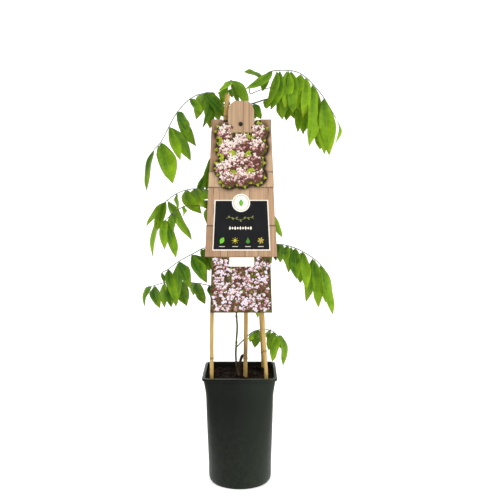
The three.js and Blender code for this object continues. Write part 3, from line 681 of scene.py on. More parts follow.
def bamboo_finish(light, shade):
    """Straw-coloured cane: long fibres, brown freckles and dark scars at its joints."""
    finish = Finish("bamboo_cane", 0.42, Specular_IOR_Level=0.3)
    long_grain = finish.stretched(finish.surface, (900, 900, 24))
    fibres = finish.noise(long_grain, 1.0, 4)
    blotches = finish.noise(finish.stretched(finish.surface, (60, 60, 14)), 1.0, 3)
    base = finish.mix(finish.range(fibres, 0.3, 0.7), light, shade)
    base = finish.mix(finish.range(blotches, 0.5, 0.78, 0.0, 0.6), base, srgb(142, 108, 54))
    freckles = finish.range(finish.noise(finish.surface, 520, 2), 0.66, 0.75, 0.0, 0.6)
    base = finish.mix(freckles, base, srgb(100, 72, 34))
    base = finish.mix(finish.mark(), base, srgb(96, 68, 34))
    return finish.done(base, fibres, 0.12, 0.35, finish.range(blotches, 0.4, 0.7, 0.32, 0.48))


def clip_finish(colour):
    """Black moulded plastic with a fine grain."""
    finish = Finish("clip_plastic", 0.42, Specular_IOR_Level=0.3)
    grain = finish.noise(finish.surface, 900, 2)
    base = finish.mix(finish.range(grain, 0.3, 0.7), colour, srgb(38, 38, 34))
    return finish.done(base, grain, 0.03, 0.3)


def bark_finish(young, old):
    """Young grey-green bark, turning brown and rough towards the foot."""
    finish = Finish("young_bark", 0.72, Specular_IOR_Level=0.2)
    height = finish.node("SeparateXYZ", {0: finish.surface}).outputs["Z"]
    fibres = finish.noise(finish.stretched(finish.surface, (700, 700, 60)), 1.0, 5, 0.6)
    spots = finish.range(finish.noise(finish.surface, 700, 2), 0.62, 0.7)
    green = finish.mix(finish.range(fibres, 0.35, 0.65), young, srgb(76, 84, 44))
    base = finish.mix(finish.mark(), green, old)
    base = finish.mix(finish.range(height, 0.214, 0.202, 0.0, 0.6), base, srgb(116, 110, 88))
    base = finish.mix(finish.math("MULTIPLY", spots, 0.4), base, srgb(140, 132, 98))
    return finish.done(base, fibres, 0.25, 0.6)


def leaf_finish(name, sunny, shaded, vein):
    """Leaf blade: painted shade in the fold along the midrib, one half painted lighter than the other as
    painted light, lighter to the edges and tip, with fine pale veins.
    """
    finish = Finish(name, 0.5, Specular_IOR_Level=0.1)
    across, along, tone = finish.place()
    side = finish.math("ABSOLUTE", across)
    midrib = finish.range(side, 0.01, 0.06, 1.0, 0.0)
    phase = finish.math("SUBTRACT", finish.math("MULTIPLY", along, 13), finish.math("MULTIPLY", side, 2.6))
    wave = finish.math("ABSOLUTE", finish.math("SINE", finish.math("MULTIPLY", phase, math.pi)))
    side_veins = finish.range(wave, 0.0, 0.24, 1.0, 0.0)
    mottle = finish.noise(finish.surface, 150, 4)
    clouds = finish.noise(finish.surface, 38, 2)
    green = finish.math("ADD", tone, finish.range(mottle, 0.3, 0.7, -0.16, 0.16))
    green = finish.math("ADD", green, finish.range(clouds, 0.32, 0.68, -0.2, 0.2))
    green = finish.math("ADD", green, finish.range(along, 0.1, 0.95, -0.2, 0.24))
    # Painted light: one half of each leaflet is lighter and the other half darker.
    green = finish.math("ADD", green, finish.range(across, -0.15, 0.15, 0.12, -0.12))
    base = finish.mix(finish.range(green, 0.0, 1.0), shaded, sunny)
    base = finish.mix(finish.range(side, 0.5, 1.0, 0.0, 0.35), base, sunny)
    # Painted shade: the fold along the midrib is darkened towards the leaflet's base.
    fold_shade = finish.math("MULTIPLY", finish.range(side, 0.04, 0.55, 1.0, 0.0),
                         finish.range(along, 0.25, 0.85, 0.6, 0.0))
    base = finish.mix(fold_shade, base, shaded)
    ripe = finish.math("MULTIPLY", finish.range(along, 0.8, 1.0), finish.range(clouds, 0.4, 0.65, 0.0, 0.7))
    base = finish.mix(ripe, base, srgb(152, 142, 34))
    base = finish.mix(finish.math("MULTIPLY", side_veins, 0.14), base, vein)
    base = finish.mix(finish.math("MULTIPLY", midrib, 0.35), base, vein)
    base = finish.mix(finish.math("MULTIPLY", finish.mark(), 0.2), base, srgb(126, 160, 60))
    relief = finish.math("ADD", midrib, finish.math("MULTIPLY", side_veins, 0.6))
    return finish.done(base, relief, 0.25, 0.5, finish.range(mottle, 0.3, 0.7, 0.42, 0.6))


def stalk_finish(colour):
    """Thin leaf stalk: grey-green, browner in places."""
    finish = Finish("leaf_stalk", 0.55)
    patches = finish.noise(finish.surface, 60, 3)
    fibres = finish.noise(finish.surface, 800, 2)
    base = finish.mix(finish.range(patches, 0.4, 0.65), colour, srgb(70, 64, 32))
    return finish.done(base, fibres, 0.05, 0.4)


def wood_finish():
    """Printed boards: upright grain, knots of tone from board to board, and a printed soft shadow."""
    finish = Finish("printed_boards", 0.5, Specular_IOR_Level=0.2)
    tone = finish.place()[2]
    grain = finish.noise(finish.stretched(finish.surface, (260, 1, 9)), 1.0, 5, 0.6)
    flame = finish.noise(finish.stretched(finish.surface, (90, 1, 22)), 1.0, 3)
    blush = finish.range(finish.noise(finish.surface, 22, 2), 0.42, 0.62, 0.0, 0.5)
    base = finish.mix(tone, srgb(152, 120, 90), srgb(224, 192, 156))
    base = finish.mix(blush, base, srgb(196, 156, 124))
    base = finish.mix(finish.range(grain, 0.42, 0.75, 0.0, 0.6), base, srgb(122, 92, 68))
    base = finish.mix(finish.range(flame, 0.5, 0.75, 0.0, 0.5), base, srgb(200, 170, 138))
    base = finish.mix(finish.mark(), base, srgb(38, 20, 14))
    return finish.done(base, grain, 0.02, 0.15)


def card_finish():
    """The sheet that the label is cut from: plain, pale grey-brown on its back and edges."""
    finish = Finish("label_sheet", 0.5, Specular_IOR_Level=0.2)
    mottle = finish.noise(finish.surface, 300, 3)
    fibres = finish.noise(finish.stretched(finish.surface, (900, 900, 120)), 1.0, 2)
    base = finish.mix(finish.range(mottle, 0.3, 0.7), srgb(120, 92, 72), srgb(134, 106, 84))
    return finish.done(base, fibres, 0.02, 0.2)


def board_finish():
    """Printed chalkboard: near black with faint wiped chalk."""
    finish = Finish("printed_chalkboard", 0.5, Specular_IOR_Level=0.2)
    wiped = finish.noise(finish.stretched(finish.surface, (60, 60, 30)), 1.0, 5, 0.6)
    grain = finish.noise(finish.surface, 900, 2)
    base = finish.mix(finish.range(wiped, 0.35, 0.75), srgb(13, 14, 16), srgb(24, 25, 27))
    return finish.done(base, grain, 0.01, 0.15)


def ink_finish(name, first, second, roughness=0.42):
    """Flat print that runs from one colour to another by the mesh's mark, slightly mottled."""
    finish = Finish(name, roughness, Specular_IOR_Level=0.2)
    mottle = finish.range(finish.noise(finish.surface, 500, 3), 0.3, 0.7, -0.12, 0.12)
    share = finish.math("ADD", finish.mark(), mottle)
    base = finish.mix(finish.range(share, 0.0, 1.0), first, second)
    return finish.done(base, mottle, 0.01, 0.1)


def thicket_finish():
    """Dark gaps between printed florets: brown with olive and near-black patches."""
    finish = Finish("printed_thicket", 0.5, Specular_IOR_Level=0.2)
    patches = finish.noise(finish.surface, 160, 3)
    fine = finish.noise(finish.surface, 420, 3)
    base = finish.mix(finish.range(patches, 0.4, 0.6), srgb(80, 52, 36), srgb(108, 102, 40))
    base = finish.mix(finish.range(fine, 0.3, 0.55), srgb(36, 28, 24), base)
    return finish.done(base, fine, 0.01, 0.1)


# ------------------------------------------------------------ pot
def add_pot_walls(surface):
    """Outside of the pot from the foot to the lip, then its inside down to the floor."""
    wall = Route(POT_PROFILE)
    rings = []
    for share in even(40):
        half, corner, height = wall.at(share)
        rings.append(rounded_square(half, min(corner, half), height))
    top_half, top_corner, _ = POT_PROFILE[-1]
    lip_foot = POT_TOP - POT_LIP_HEIGHT
    rings.append(rounded_square(top_half, top_corner, lip_foot))
    rim_highlight, inside = [0.0] * len(rings), [0.0] * len(rings)
    # The rim's top rings are marked to be painted paler: a painted highlight along the rim.
    for inset, height, highlight in ((0.9, lip_foot, 0), (0.2, lip_foot + 0.4, 0), (0, lip_foot + 1.2, 0),
                                (0, POT_TOP - 0.8, 0), (0.3, POT_TOP - 0.3, 0.3), (1.1, POT_TOP, 0.6)):
        rings.append(rounded_square(POT_LIP_HALF_WIDTH - inset, POT_LIP_CORNER - inset, height))
        rim_highlight.append(highlight)
        inside.append(0.0)
    # The inside's rings carry a mark that paints them near black: painted shade inside the pot.
    for height in (POT_TOP, POT_TOP - 0.6, 190, 172, 120, 60, 8, POT_FLOOR):
        half, corner = wall_at(min(height, POT_PROFILE[-1][2]))
        bevel = 0.4 if height == POT_TOP else 0.0
        half -= POT_WALL - bevel
        rings.append(rounded_square(half, min(corner - POT_WALL, half), height))
        rim_highlight.append(0.3 if bevel else 0.0)
        inside.append(0.0 if bevel else 1.0)
    size = len(rings[0])
    places = [(highlight, 0.0, 0.0) for highlight in rim_highlight for _ in range(size)]
    surface.add_loft(rings, places, [depth for depth in inside for _ in range(size)])


def wall_at(height):
    """Half width and corner radius of the pot's outside at a height."""
    for below, above in zip(POT_PROFILE, POT_PROFILE[1:]):
        if height <= above[2]:
            share = (height - below[2]) / (above[2] - below[2])
            return [below[k] + (above[k] - below[k]) * share for k in (0, 1)]
    return POT_PROFILE[-1][:2]


def drill_drain_holes(piece):
    surface = Surface()
    for k in range(DRAIN_HOLES):
        angle = 2 * math.pi * (k + 0.5) / DRAIN_HOLES
        rings = []
        for height in (-2, POT_FLOOR + 2):
            rings.append([Vector((
                DRAIN_CIRCLE * math.cos(angle) + DRAIN_RADIUS * math.cos(turn * math.pi / 12),
                DRAIN_CIRCLE * math.sin(angle) + DRAIN_RADIUS * math.sin(turn * math.pi / 12),
                height,
            )) for turn in range(24)])
        surface.add_loft(rings)
    drill = make_piece("drain_drill", surface, [])
    cut = piece.modifiers.new("drain_holes", "BOOLEAN")
    cut.operation = "DIFFERENCE"
    cut.solver = "EXACT"
    cut.object = drill
    apply_modifiers(piece)
    bpy.data.objects.remove(drill)


def apply_modifiers(piece):
    graph = bpy.context.evaluated_depsgraph_get()
    made = bpy.data.meshes.new_from_object(piece.evaluated_get(graph))
    piece.modifiers.clear()
    piece.data = made


def build_pot(finish):
    surface = Surface()
    add_pot_walls(surface)
    piece = make_piece("pot_moulding", surface, [finish])
    drill_drain_holes(piece)
    crease(piece, 40)
    return seat(piece, "pot_plastic", "pot")


# ------------------------------------------------------------ compost
def soil_height(x, y):
    """Surface of the compost: slow swells, lumps and a mound where the trunk, the centre cane and the back
    right cane enter.
    """
    spot = Vector((x, y, 0))
    height = SOIL_TOP + 1.1 * noise.noise(spot * 0.035) + 1.3 * noise.noise(spot * 0.11)
    height += 0.9 * noise.noise(spot * 0.3) + 0.5 * noise.noise(spot * 0.8)
    for mound_x, mound_y, rise, reach in SOIL_MOUNDS:
        height += rise * (1 - smoothstep(0, reach, math.hypot(x - mound_x, y - mound_y)))
    return height


def add_soil_body(surface):
    rings = []
    for height in (POT_FLOOR + 0.4, 40, 90, 140, 172, SOIL_TOP - 4):
        half, corner = wall_at(height)
        half -= POT_WALL + 0.4
        rings.append(rounded_square(half, min(corner, half), height))
    edge = rings[-1]
    for ring in range(SOIL_RINGS):
        share = 1 - (ring + 0.2) / SOIL_RINGS
        rings.append([Vector((p.x * share, p.y * share, soil_height(p.x * share, p.y * share)))
                      for p in edge])
    tones = [(0.0, 0.0, 0.25)] * sum(len(ring) for ring in rings)
    surface.add_loft(rings, tones)


def add_crumb(surface, centre, size, tone, stretch, rng):
    """One clod or bark chip: a small ball with its points pushed about, drawn out one way."""
    ball = bmesh.new()
    bmesh.ops.create_icosphere(ball, subdivisions=1, radius=1.0)
    turn = Matrix.Rotation(rng.uniform(0, math.tau), 3, "Z") @ Matrix.Rotation(rng.uniform(-0.5, 0.5), 3, "X")
    points = []
    for vert in ball.verts:
        pushed = vert.co * (size * rng.uniform(0.7, 1.25))
        pushed = Vector((pushed.x * stretch, pushed.y, pushed.z * 0.7))
        points.append(centre + turn @ pushed)
    faces = [tuple(v.index for v in face.verts) for face in ball.faces]
    surface.add(points, faces, [(0.0, 0.0, tone)] * len(points))
    ball.free()


def build_soil(finish, crumbs):
    rng = random.Random(SEED)
    surface = Surface()
    add_soil_body(surface)
    reach = SOIL_HALF_WIDTH - 3
    for k in range(crumbs):
        x = rng.uniform(-reach, reach)
        y = rng.uniform(-reach, reach)
        size = 0.5 + 1.5 * rng.random() ** 3
        chip = k % 9 == 0
        tone = rng.random() ** 2 * (1.0 if chip else 0.5)
        centre = Vector((x, y, soil_height(x, y) + 0.15 * size))
        add_crumb(surface, centre, size, tone, rng.uniform(2.0, 4.0) if chip else 1.2, rng)
    for x, y, size in CLODS:
        add_crumb(surface, Vector((x, y, SOIL_TOP + CLOD_LIFT)), size, 0.0, 1.3, rng)
    piece = make_piece("compost", surface, [finish])
    return seat(piece, "compost", "soil")


# ------------------------------------------------------------ canes and clip
CANE_JOINT_REACH = 0.006


def build_cane(name, cane, finish, number):
    """A cane with a raised, scarred ring at each joint, its own girth at each end and a cut top whose hollow
    is a dark disc of painted shade.
    """
    route = Route(cane["route"])
    joints = cane["joints"]
    stain_low, stain_high = cane.get("stain", (0, 1))
    foot_girth, top_girth = cane["girth"]
    steps = set(even(70))
    for joint in joints:
        steps.update(joint + CANE_JOINT_REACH * k / 4 for k in range(-4, 5))
    shares = sorted(s for s in steps if 0 <= s <= 1)

    def near_joint(share):
        gap = min(abs(share - joint) for joint in joints)
        return 1 - smoothstep(0.0, CANE_JOINT_REACH, gap)

    def radius(share):
        groove = 0.3 if min(abs(share - joint) for joint in joints) < 0.0004 else 0.0
        girth = foot_girth + (top_girth - foot_girth) * share
        return CANE_RADIUS * girth + 0.5 * near_joint(share) - groove

    def scar(share):
        height = route.at(share).z
        stain = smoothstep(stain_low, stain_low + 12, height)
        stain *= smoothstep(stain_high, stain_high - 40, height)
        return max(0.7 * near_joint(share), 0.6 * stain)

    surface = Surface()
    add_rod(surface, route, radius, 20, shares, spread(number) + 0.5, scar, wobble=0.06)
    add_hollow(surface, route)
    piece = make_piece(name.replace("cane", "bamboo"), surface, [finish])
    crease(piece, 50)
    return seat(piece, "bamboo", name)


def add_hollow(surface, route):
    """Painted shade of the hollow in the cut top: a small dark disc that stands a hair above the cut."""
    along = route.along(0.999)
    across = along.orthogonal().normalized()
    side = along.cross(across)
    top = route.at(1)
    rings = []
    for radius, lift in ((1.5, -1.0), (1.5, 0.12), (1.1, 0.16)):
        rings.append([top + lift * along + radius * (math.cos(a) * across + math.sin(a) * side)
                      for a in (math.tau * k / 14 for k in range(14))])
    surface.add_loft(rings, marks=[1.0] * 42)


def round_ring(x, y, radius, height, sides):
    return [Vector((x + radius * math.cos(math.tau * k / sides),
                    y + radius * math.sin(math.tau * k / sides), height)) for k in range(sides)]


def add_disc(surface, x, y, radius, low, high, sides=48, bevel=0.5):
    rings = [round_ring(x, y, radius - inset, height, sides) for inset, height in (
        (bevel, low), (0, low + bevel), (0, high - bevel), (bevel, high))]
    surface.add_loft(rings)


def add_collar(surface, x, y, low, high):
    """Open tube that a cane passes through, with softened rims."""
    outer, inner, bevel = CLIP_COLLAR_RADIUS, CANE_RADIUS + 0.9, 0.5
    profile = [(outer - bevel, low), (outer, low + bevel), (outer, high - bevel), (outer - bevel, high),
               (inner + bevel, high), (inner, high - bevel), (inner, low + bevel), (inner + bevel, low)]
    rings = [round_ring(x, y, radius, height, 32) for radius, height in profile]
    rings.append(rings[0])
    surface.add_loft(rings, closed=False)


def add_bar(surface, start, end, width, low, high):
    """Flat arm between two points, with softened long edges."""
    run = Vector((end[0] - start[0], end[1] - start[1], 0))
    side = Vector((-run.y, run.x, 0)).normalized()
    section = [(-0.5, 0.15), (-0.45, 0.0), (0.45, 0.0), (0.5, 0.15), (0.5, 0.85), (0.45, 1.0),
               (-0.45, 1.0), (-0.5, 0.85)]
    rings = []
    for x, y in (start, end):
        rings.append([Vector((x, y, low + (high - low) * rise)) + side * (width * across)
                      for across, rise in section])
    surface.add_loft(rings)


def add_peg(surface):
    """Peg that reaches forward through the label's hole, with a domed head."""
    x, height = PEG_PLACE
    profile = [(CLIP_CENTRE[1], PEG_RADIUS), (PEG_FRONT + 2, PEG_RADIUS), (PEG_FRONT + 2, PEG_HEAD_RADIUS),
               (PEG_FRONT + 0.7, PEG_HEAD_RADIUS), (PEG_FRONT + 0.2, PEG_HEAD_RADIUS * 0.8),
               (PEG_FRONT, PEG_HEAD_RADIUS * 0.4)]
    rings = []
    for y, radius in profile:
        rings.append([Vector((x + radius * math.sin(math.tau * k / 28), y,
                              height + radius * math.cos(math.tau * k / 28))) for k in range(28)])
    surface.add_loft(flipped(rings))


def build_clip(finish):
    surface = Surface()
    top = CLIP_HEIGHT + CLIP_PLATE
    add_disc(surface, *CLIP_CENTRE, CLIP_DISC_RADIUS, CLIP_HEIGHT, top, 72)
    add_disc(surface, *CLIP_CENTRE, CLIP_DISC_RADIUS * 0.55, CLIP_HEIGHT, top + 1.2, 48)
    for place in CLIP_HOLES:
        add_bar(surface, CLIP_CENTRE, place, CLIP_ARM_WIDTH, CLIP_HEIGHT, top)
        add_collar(surface, *place, CLIP_HEIGHT, CLIP_HEIGHT + CLIP_COLLAR)
    add_peg(surface)
    piece = make_piece("clip_moulding", surface, [finish])
    crease(piece, 35)
    return seat(piece, "clip_plastic", "cane_clip")


# ------------------------------------------------------------ stem
def stem_route():
    """The stem rises beside the trunk, winds round the centre cane and passes behind the clip."""
    cane = Route(CANES["cane_centre"]["route"])
    points = list(STEM_START)
    height = TWIST_FROM
    while height <= TWIST_TO:
        axis = cane.at(cane.share_at_height(height))
        angle = math.radians(TWIST_PHASE + 360 * (height - TWIST_FROM) / TWIST_PITCH)
        reach_x, reach_y = TWIST_RADIUS * math.cos(angle), TWIST_RADIUS * math.sin(angle)
        points.append((axis.x + reach_x, axis.y + reach_y, height))
        height += TWIST_PITCH / TWIST_STEPS
    return Route(points + STEM_END)


STEM = stem_route()
STEM_NODES = [0.03, 0.11, 0.2, 0.29, 0.37, 0.46, 0.55, 0.64, 0.73, 0.82, 0.9]


def build_stem(finish):
    """Woody stub of a trunk and the thin stem, swollen a little where its leaves spring."""
    def trunk_radius(share):
        return TRUNK_RADIUS * (1.1 - 0.2 * share) * (0.55 if share > 0.995 else 1.0)

    def stem_radius(share):
        gap = min(abs(share - place) for place in STEM_NODES)
        return STEM_RADIUS * (1.12 - 0.3 * share) + 0.55 * (1 - smoothstep(0.0, 0.006, gap))

    surface = Surface()
    add_rod(surface, Route(TRUNK), trunk_radius, 20, even(46), 0.3, lambda share: 1.0, wobble=0.28)
    add_rod(surface, STEM, stem_radius, 12, even(520), 0.6, lambda share: smoothstep(0.12, 0.0, share),
            wobble=0.14)
    add_rod(surface, Route(TENDRIL), lambda share: 1.0 - 0.3 * share, 8, even(60), 0.2)
    piece = make_piece("twining_stem", surface, [finish])
    return seat(piece, "young_bark", "vine_stem")


# ------------------------------------------------------------ fronds
LEAFLET_ROWS = 24
LEAFLET_HALF_COLUMNS = 5
LEAFLET_THICKNESS = 0.34
LEAFLET_TWIST = 0.9
BLADE_START = 0.03
BLADE_ARCH = 0.13


def leaflet_half_width(share):
    """Half width of a leaflet at a share of its length: widest at the middle, with a drawn-out tip."""
    return 2.86 * share ** 0.77 * (1 - share) ** 0.75 * (1 - 0.3 * smoothstep(0.78, 1.0, share))


def add_leaflet(surface, base, axis, face, length, width, bow, tone, number, settings):
    """One leaflet: a short stalklet and a thin folded, waved blade, closed round its edge."""
    across = axis.cross(face)
    bend = base + 0.45 * length * axis + BLADE_ARCH * length * face + bow * length * across
    tip = base + length * axis
    fold = settings.fold + 0.25 * spread(number)
    wave = settings.wave * (1 + spread(3 * number))
    phase = 6.3 * spread(5 * number)
    twist = LEAFLET_TWIST * spread(11 * number)

    def spine(t):
        return (1 - t) ** 2 * base + 2 * t * (1 - t) * bend + t * t * tip

    def upper(t):
        return across.cross(2 * (1 - t) * (bend - base) + 2 * t * (tip - bend)).normalized()

    def spot(t, side, layer):
        share = (t - BLADE_START) / (1 - BLADE_START)
        ripple = math.sin(9 * t + phase + (1.3 if side > 0 else 0))
        half = width / 2 * leaflet_half_width(min(max(share, 0.0), 1.0)) * (1 + 0.35 * wave * ripple)
        rise = (fold * abs(side) + wave * ripple * side * side) * half
        lift = rise + layer * (1 - abs(side) ** 4) * LEAFLET_THICKNESS / 2
        turn = twist * (t - 0.4)
        over = math.cos(turn) * across + math.sin(turn) * upper(t)
        out = math.cos(turn) * upper(t) - math.sin(turn) * across
        return spine(t) + side * half * over + lift * out

    columns = [k / LEAFLET_HALF_COLUMNS for k in range(-LEAFLET_HALF_COLUMNS, LEAFLET_HALF_COLUMNS + 1)]
    steps = [(1 - math.cos(math.pi * k / LEAFLET_ROWS)) / 2 for k in range(1, LEAFLET_ROWS)]
    steps = [BLADE_START + (1 - BLADE_START) * share for share in steps]
    points = [spine(BLADE_START), spine(1)]
    places = [(0.0, 0.0, tone), (0.0, 1.0, tone)]
    marks = [0.0, 0.0]
    count = len(columns)
    rows = []
    for t in steps:
        row = []
        for layer in (1, -1):
            inner = columns if layer > 0 else columns[1:-1]
            for side in inner:
                row.append(len(points))
                points.append(spot(t, side, layer))
                places.append((side, t, tone))
                marks.append(0.0 if layer > 0 else 1.0)
        rows.append((row[:count], [row[0], *row[count:], row[count - 1]]))
    faces = []
    for (top, under), (next_top, next_under) in zip(rows, rows[1:]):
        for k in range(count - 1):
            faces.append((top[k], next_top[k], next_top[k + 1], top[k + 1]))
            faces.append((under[k], under[k + 1], next_under[k + 1], next_under[k]))
    for k in range(count - 1):
        (first_top, first_under), (last_top, last_under) = rows[0], rows[-1]
        faces.append((0, first_top[k], first_top[k + 1]))
        faces.append((0, first_under[k + 1], first_under[k]))
        faces.append((1, last_top[k + 1], last_top[k]))
        faces.append((1, last_under[k], last_under[k + 1]))
    surface.add(points, faces, places, marks, slot=0)
    stalklet = Route([base - 0.3 * axis, spine(BLADE_START * 0.5), spine(BLADE_START * 1.6)])
    add_rod(surface, stalklet, lambda share: 0.62 - 0.28 * share, 6, even(3), tone, slot=1)


# How sunny a frond is, from 0 to 1: this is partly painted light and partly leaf colour.
OTHER_FROND_TONE = 0.35
FROND_TONES = {
    "frond_upper_left": 0.35, "frond_upper_right": 0.56, "frond_upper_right_under": 0.38,
    "shoot_tip": 0.48, "frond_mid_left": 0.56, "frond_low_left": 0.1, "frond_lowest_left": 0.22,
    "frond_mid_right": 0.33, "frond_lower_right": 0.24,
}
# How thick a frond's stalk is at its foot, as a share of the usual; it returns to the usual at its tip.
STALK_GIRTH = {"frond_upper_right_under": 1.7, "frond_lower_right": 1.3, "frond_upper_left": 0.95}
BRANCH_FOOT_RADIUS = 1.2
LAST_PLACE = 0.995
PAIR = {"smallest": 0.74, "lean": 16, "swing": 42, "variation": 16}
END_LEAFLET = {"size": 0.9, "lean": 38, "swing": 6, "turn": 15}


def paired_leaflets(first, count, length, width):
    """Rule for a whole frond: opposite pairs of leaflets, longest in the middle, and one at the tip."""
    rows = []
    for k in range(count):
        place = first + (1 - first) * k / count
        size = PAIR["smallest"] + (1 - PAIR["smallest"]) * math.sin(math.pi * (k + 0.7) / count)
        for side in (-1, 1):
            vary = PAIR["variation"] * spread(2 * k + (side + 3) / 2)
            rows.append((place, length * size, width * size, PAIR["lean"] + vary,
                         side * (PAIR["swing"] + vary), vary))
    rows.append((1, END_LEAFLET["size"] * length, END_LEAFLET["size"] * width,
                 END_LEAFLET["lean"], END_LEAFLET["swing"], END_LEAFLET["turn"]))
    return rows


def build_frond(name, frond, finishes, settings, number):
    """One frond: its stalk with a swollen foot, and its leaflets."""
    if "start" in frond:
        origin = Vector(frond["start"])
        base_radius = BRANCH_FOOT_RADIUS
    else:
        origin = STEM.at(STEM.share_at_height(frond["leaves"]))
        base_radius = LEAF_BASE_RADIUS
    route = Route([origin, *frond["route"]])
    up = Vector((0, 0, 1))
    outward = route.samples[-1] - route.samples[0]
    outward = Vector((outward.x, outward.y, 0)).normalized()
    right = outward.cross(up)

    def radius(share):
        foot = 1 - smoothstep(0.0, LEAF_BASE_LENGTH, share * route.length)
        girth = 1 + (STALK_GIRTH.get(name, 1) - 1) * (1 - share)
        slim = girth * (STALK_RADIUS + (STALK_TIP_RADIUS - STALK_RADIUS) * share)
        return slim + (base_radius - slim) * foot

    surface = Surface()
    feet = [k * 1.2 / route.length for k in range(7)]
    shares = sorted(set(feet + [share for share in even(60) if share > feet[-1]]))
    add_rod(surface, route, radius, 8, shares, 0.5, slot=1, wobble=0.12)
    rows = paired_leaflets(**frond["pairs"]) if "pairs" in frond else frond["leaflets"]
    for k, (place, length, width, lean, swing, turn, *bow) in enumerate(rows):
        base = route.at(min(place, LAST_PLACE))
        lean, swing, turn = (math.radians(angle) for angle in (lean, swing, turn))
        axis = (math.sin(lean) * outward - math.cos(lean) * up) * math.cos(swing) + math.sin(swing) * right
        face = math.copysign(0.8, swing) * right + 0.55 * up
        face = (face - axis * face.dot(axis)).normalized()
        face.rotate(Matrix.Rotation(turn, 3, axis))
        serial = 17 * number + k
        tone = FROND_TONES.get(name, OTHER_FROND_TONE) + settings.tone_range * spread(7 * serial)
        # Painted shade: leaflets nearer the stem are darker, those nearer the tip lighter.
        tone += 0.5 * (place - 0.7)
        add_leaflet(surface, base, axis, face, length, width, sum(bow), tone, serial, settings)
    piece = make_piece(name + "_leaves", surface, finishes)
    return seat(piece, "leaf_deep" if number % 2 else "leaf_bright", name)


# ------------------------------------------------------------ label
# On the card, x runs across and y runs up from its bottom edge, in millimetres.
# Each tier of printed boards: bottom, top, left, right, the seams between boards, and how pale
# each board is, from left to right.
TIERS = [
    (99.5, 155.5, -61, 66.7, (-33, -21, 10, 33), (0.0, 0.35, 0.2, 0.45, 0.3)),
    (155.5, 222.5, -57.6, 63.2, (-45, -35, 2, 18, 50), (0.3, 0.55, 0.4, 0.7, 0.5, 0.4)),
    (222.5, 249.5, -54.3, 61, (-44, 47), (0.8, 1.0, 0.85)),
    (249.5, 319, -52.4, 59.4, (-36, 16, 47), (0.0, 0.2, 0.3, 0.6)),
]
TIER_SLOPE = 0.048
EAR_TIER = (319, 340, 0.05)
EARS = ((-48.6, -29.5), (38, 55.8))
EAR_MIDDLE = (-29.5, 38, 319, 329.5)
TAB = {"left": -20, "right": 26, "bottom": 317, "shoulder": 353, "top": 372, "seams": (7, 17.5)}
TAB_CORNER = 13
TAB_CORNER_INSET = 3
STRIP = {"bottom": (-52.3, 57.9), "top": (-48.7, 54.6), "height": 99.5}
BOARD = {"bottom": (-47.8, 54.7, 110.7), "top": (-43.5, 50.5, 199.9), "rim": 1.8}
BADGE = {"centre": (3, 194.6), "radius": 15.9}
PATCH = (-17.9, 25.9, 82.2, 98.8)
SYMBOLS = (-30.7, -7.6, 15, 37.7)
SYMBOL_HEIGHT = 128.3
# The printed posy's round flower heads: middle across and up, radius, and how dusky they are.
HEADS = [
    (-25, 318, 14, -0.1), (33, 319, 13, -0.12), (4, 299, 16.5, 0.0), (-23, 291, 14.5, -0.14),
    (31, 293, 14.5, 0.04), (-6, 270, 16.5, -0.08), (24, 266, 16, 0.2), (-27, 256, 13, -0.1),
    (5, 242, 16, 0.0), (29, 243, 13, 0.12), (-19, 238, 13, 0.06),
]

PRINT_LIFT = 0.22
PANEL_LIFT = 0.62
# Inks of the flower prints, by their place in the piece's list of finishes.
THICKET, PALE, DUSKY, DEEP, LIME, GOLD = range(6)
# Inks of the chalkboard, in the same way.
CHALK_BLACK, CREAM, BLUSH, LEAF_GREEN, SUN_GOLD, SPRIG_OLIVE = range(6)


def on_card(x, y, lift=0.0):
    """Point in the frame of a place on the card's front, raised by lift."""
    tilt = math.radians(LABEL_TILT)
    upward = Vector((0, math.sin(tilt), math.cos(tilt)))
    forward = Vector((0, -math.cos(tilt), math.sin(tilt)))
    return Vector(LABEL_FOOT) + Vector((x, 0, 0)) + y * upward + (LABEL_THICKNESS + lift) * forward


def add_sheet(surface, spot, columns, rows, tone, mark_at, lift=PRINT_LIFT, slot=0):
    """Thin printed sheet over the card: spot gives the place on the card of two shares."""
    points, places, marks = [], [], []
    for t in rows:
        for s in columns:
            x, y = spot(s, t)
            points.append(on_card(x, y, lift(y) if callable(lift) else lift))
            places.append((x, y, tone(x) if callable(tone) else tone))
            marks.append(mark_at(x, y))
    wide = len(columns)
    faces = []
    for r in range(len(rows) - 1):
        for c in range(wide - 1):
            a = r * wide + c
            faces.append((a, a + 1, a + wide + 1, a + wide))
    rim = list(range(wide)) + [r * wide + wide - 1 for r in range(1, len(rows))]
    rim += [len(rows) * wide - 1 - c for c in range(1, wide)]
    rim += [r * wide for r in range(len(rows) - 2, 0, -1)]
    first = len(points)
    for corner in rim:
        x, y, _ = places[corner]
        points.append(on_card(x, y, 0.0))
        places.append(places[corner])
        marks.append(marks[corner])
    for k in range(len(rim)):
        following = (k + 1) % len(rim)
        faces.append((rim[following], rim[k], first + k, first + following))
    surface.add(points, faces, places, marks, slot)


def posy_shadow(x, y):
    """Soft printed shadow round the flower heads, heavier below and to the right."""
    shade = 0.0
    for head_x, head_y, radius, _ in HEADS:
        gap = math.hypot(x - head_x - 1, y - head_y + 1.5) - radius
        shade = max(shade, 1 - 0.75 * smoothstep(4.5, 10, gap) - 0.25 * smoothstep(7, 17, gap))
    return shade


def edge_shade(gap, reach, depth):
    return depth * (1 - smoothstep(0.0, reach, gap))


def board_lines(left, right, seams):
    """Shares across a tier where a board's edge or its shading needs a column."""
    places = {left, right}
    for seam in (left, *seams, right):
        places.update(seam + step for step in (-2.5, -1.2, -0.6, 0, 0.6, 1.2, 2.5))
    places.update(left + (right - left) * k / 30 for k in range(31))
    return sorted((x - left) / (right - left) for x in places if left <= x <= right)


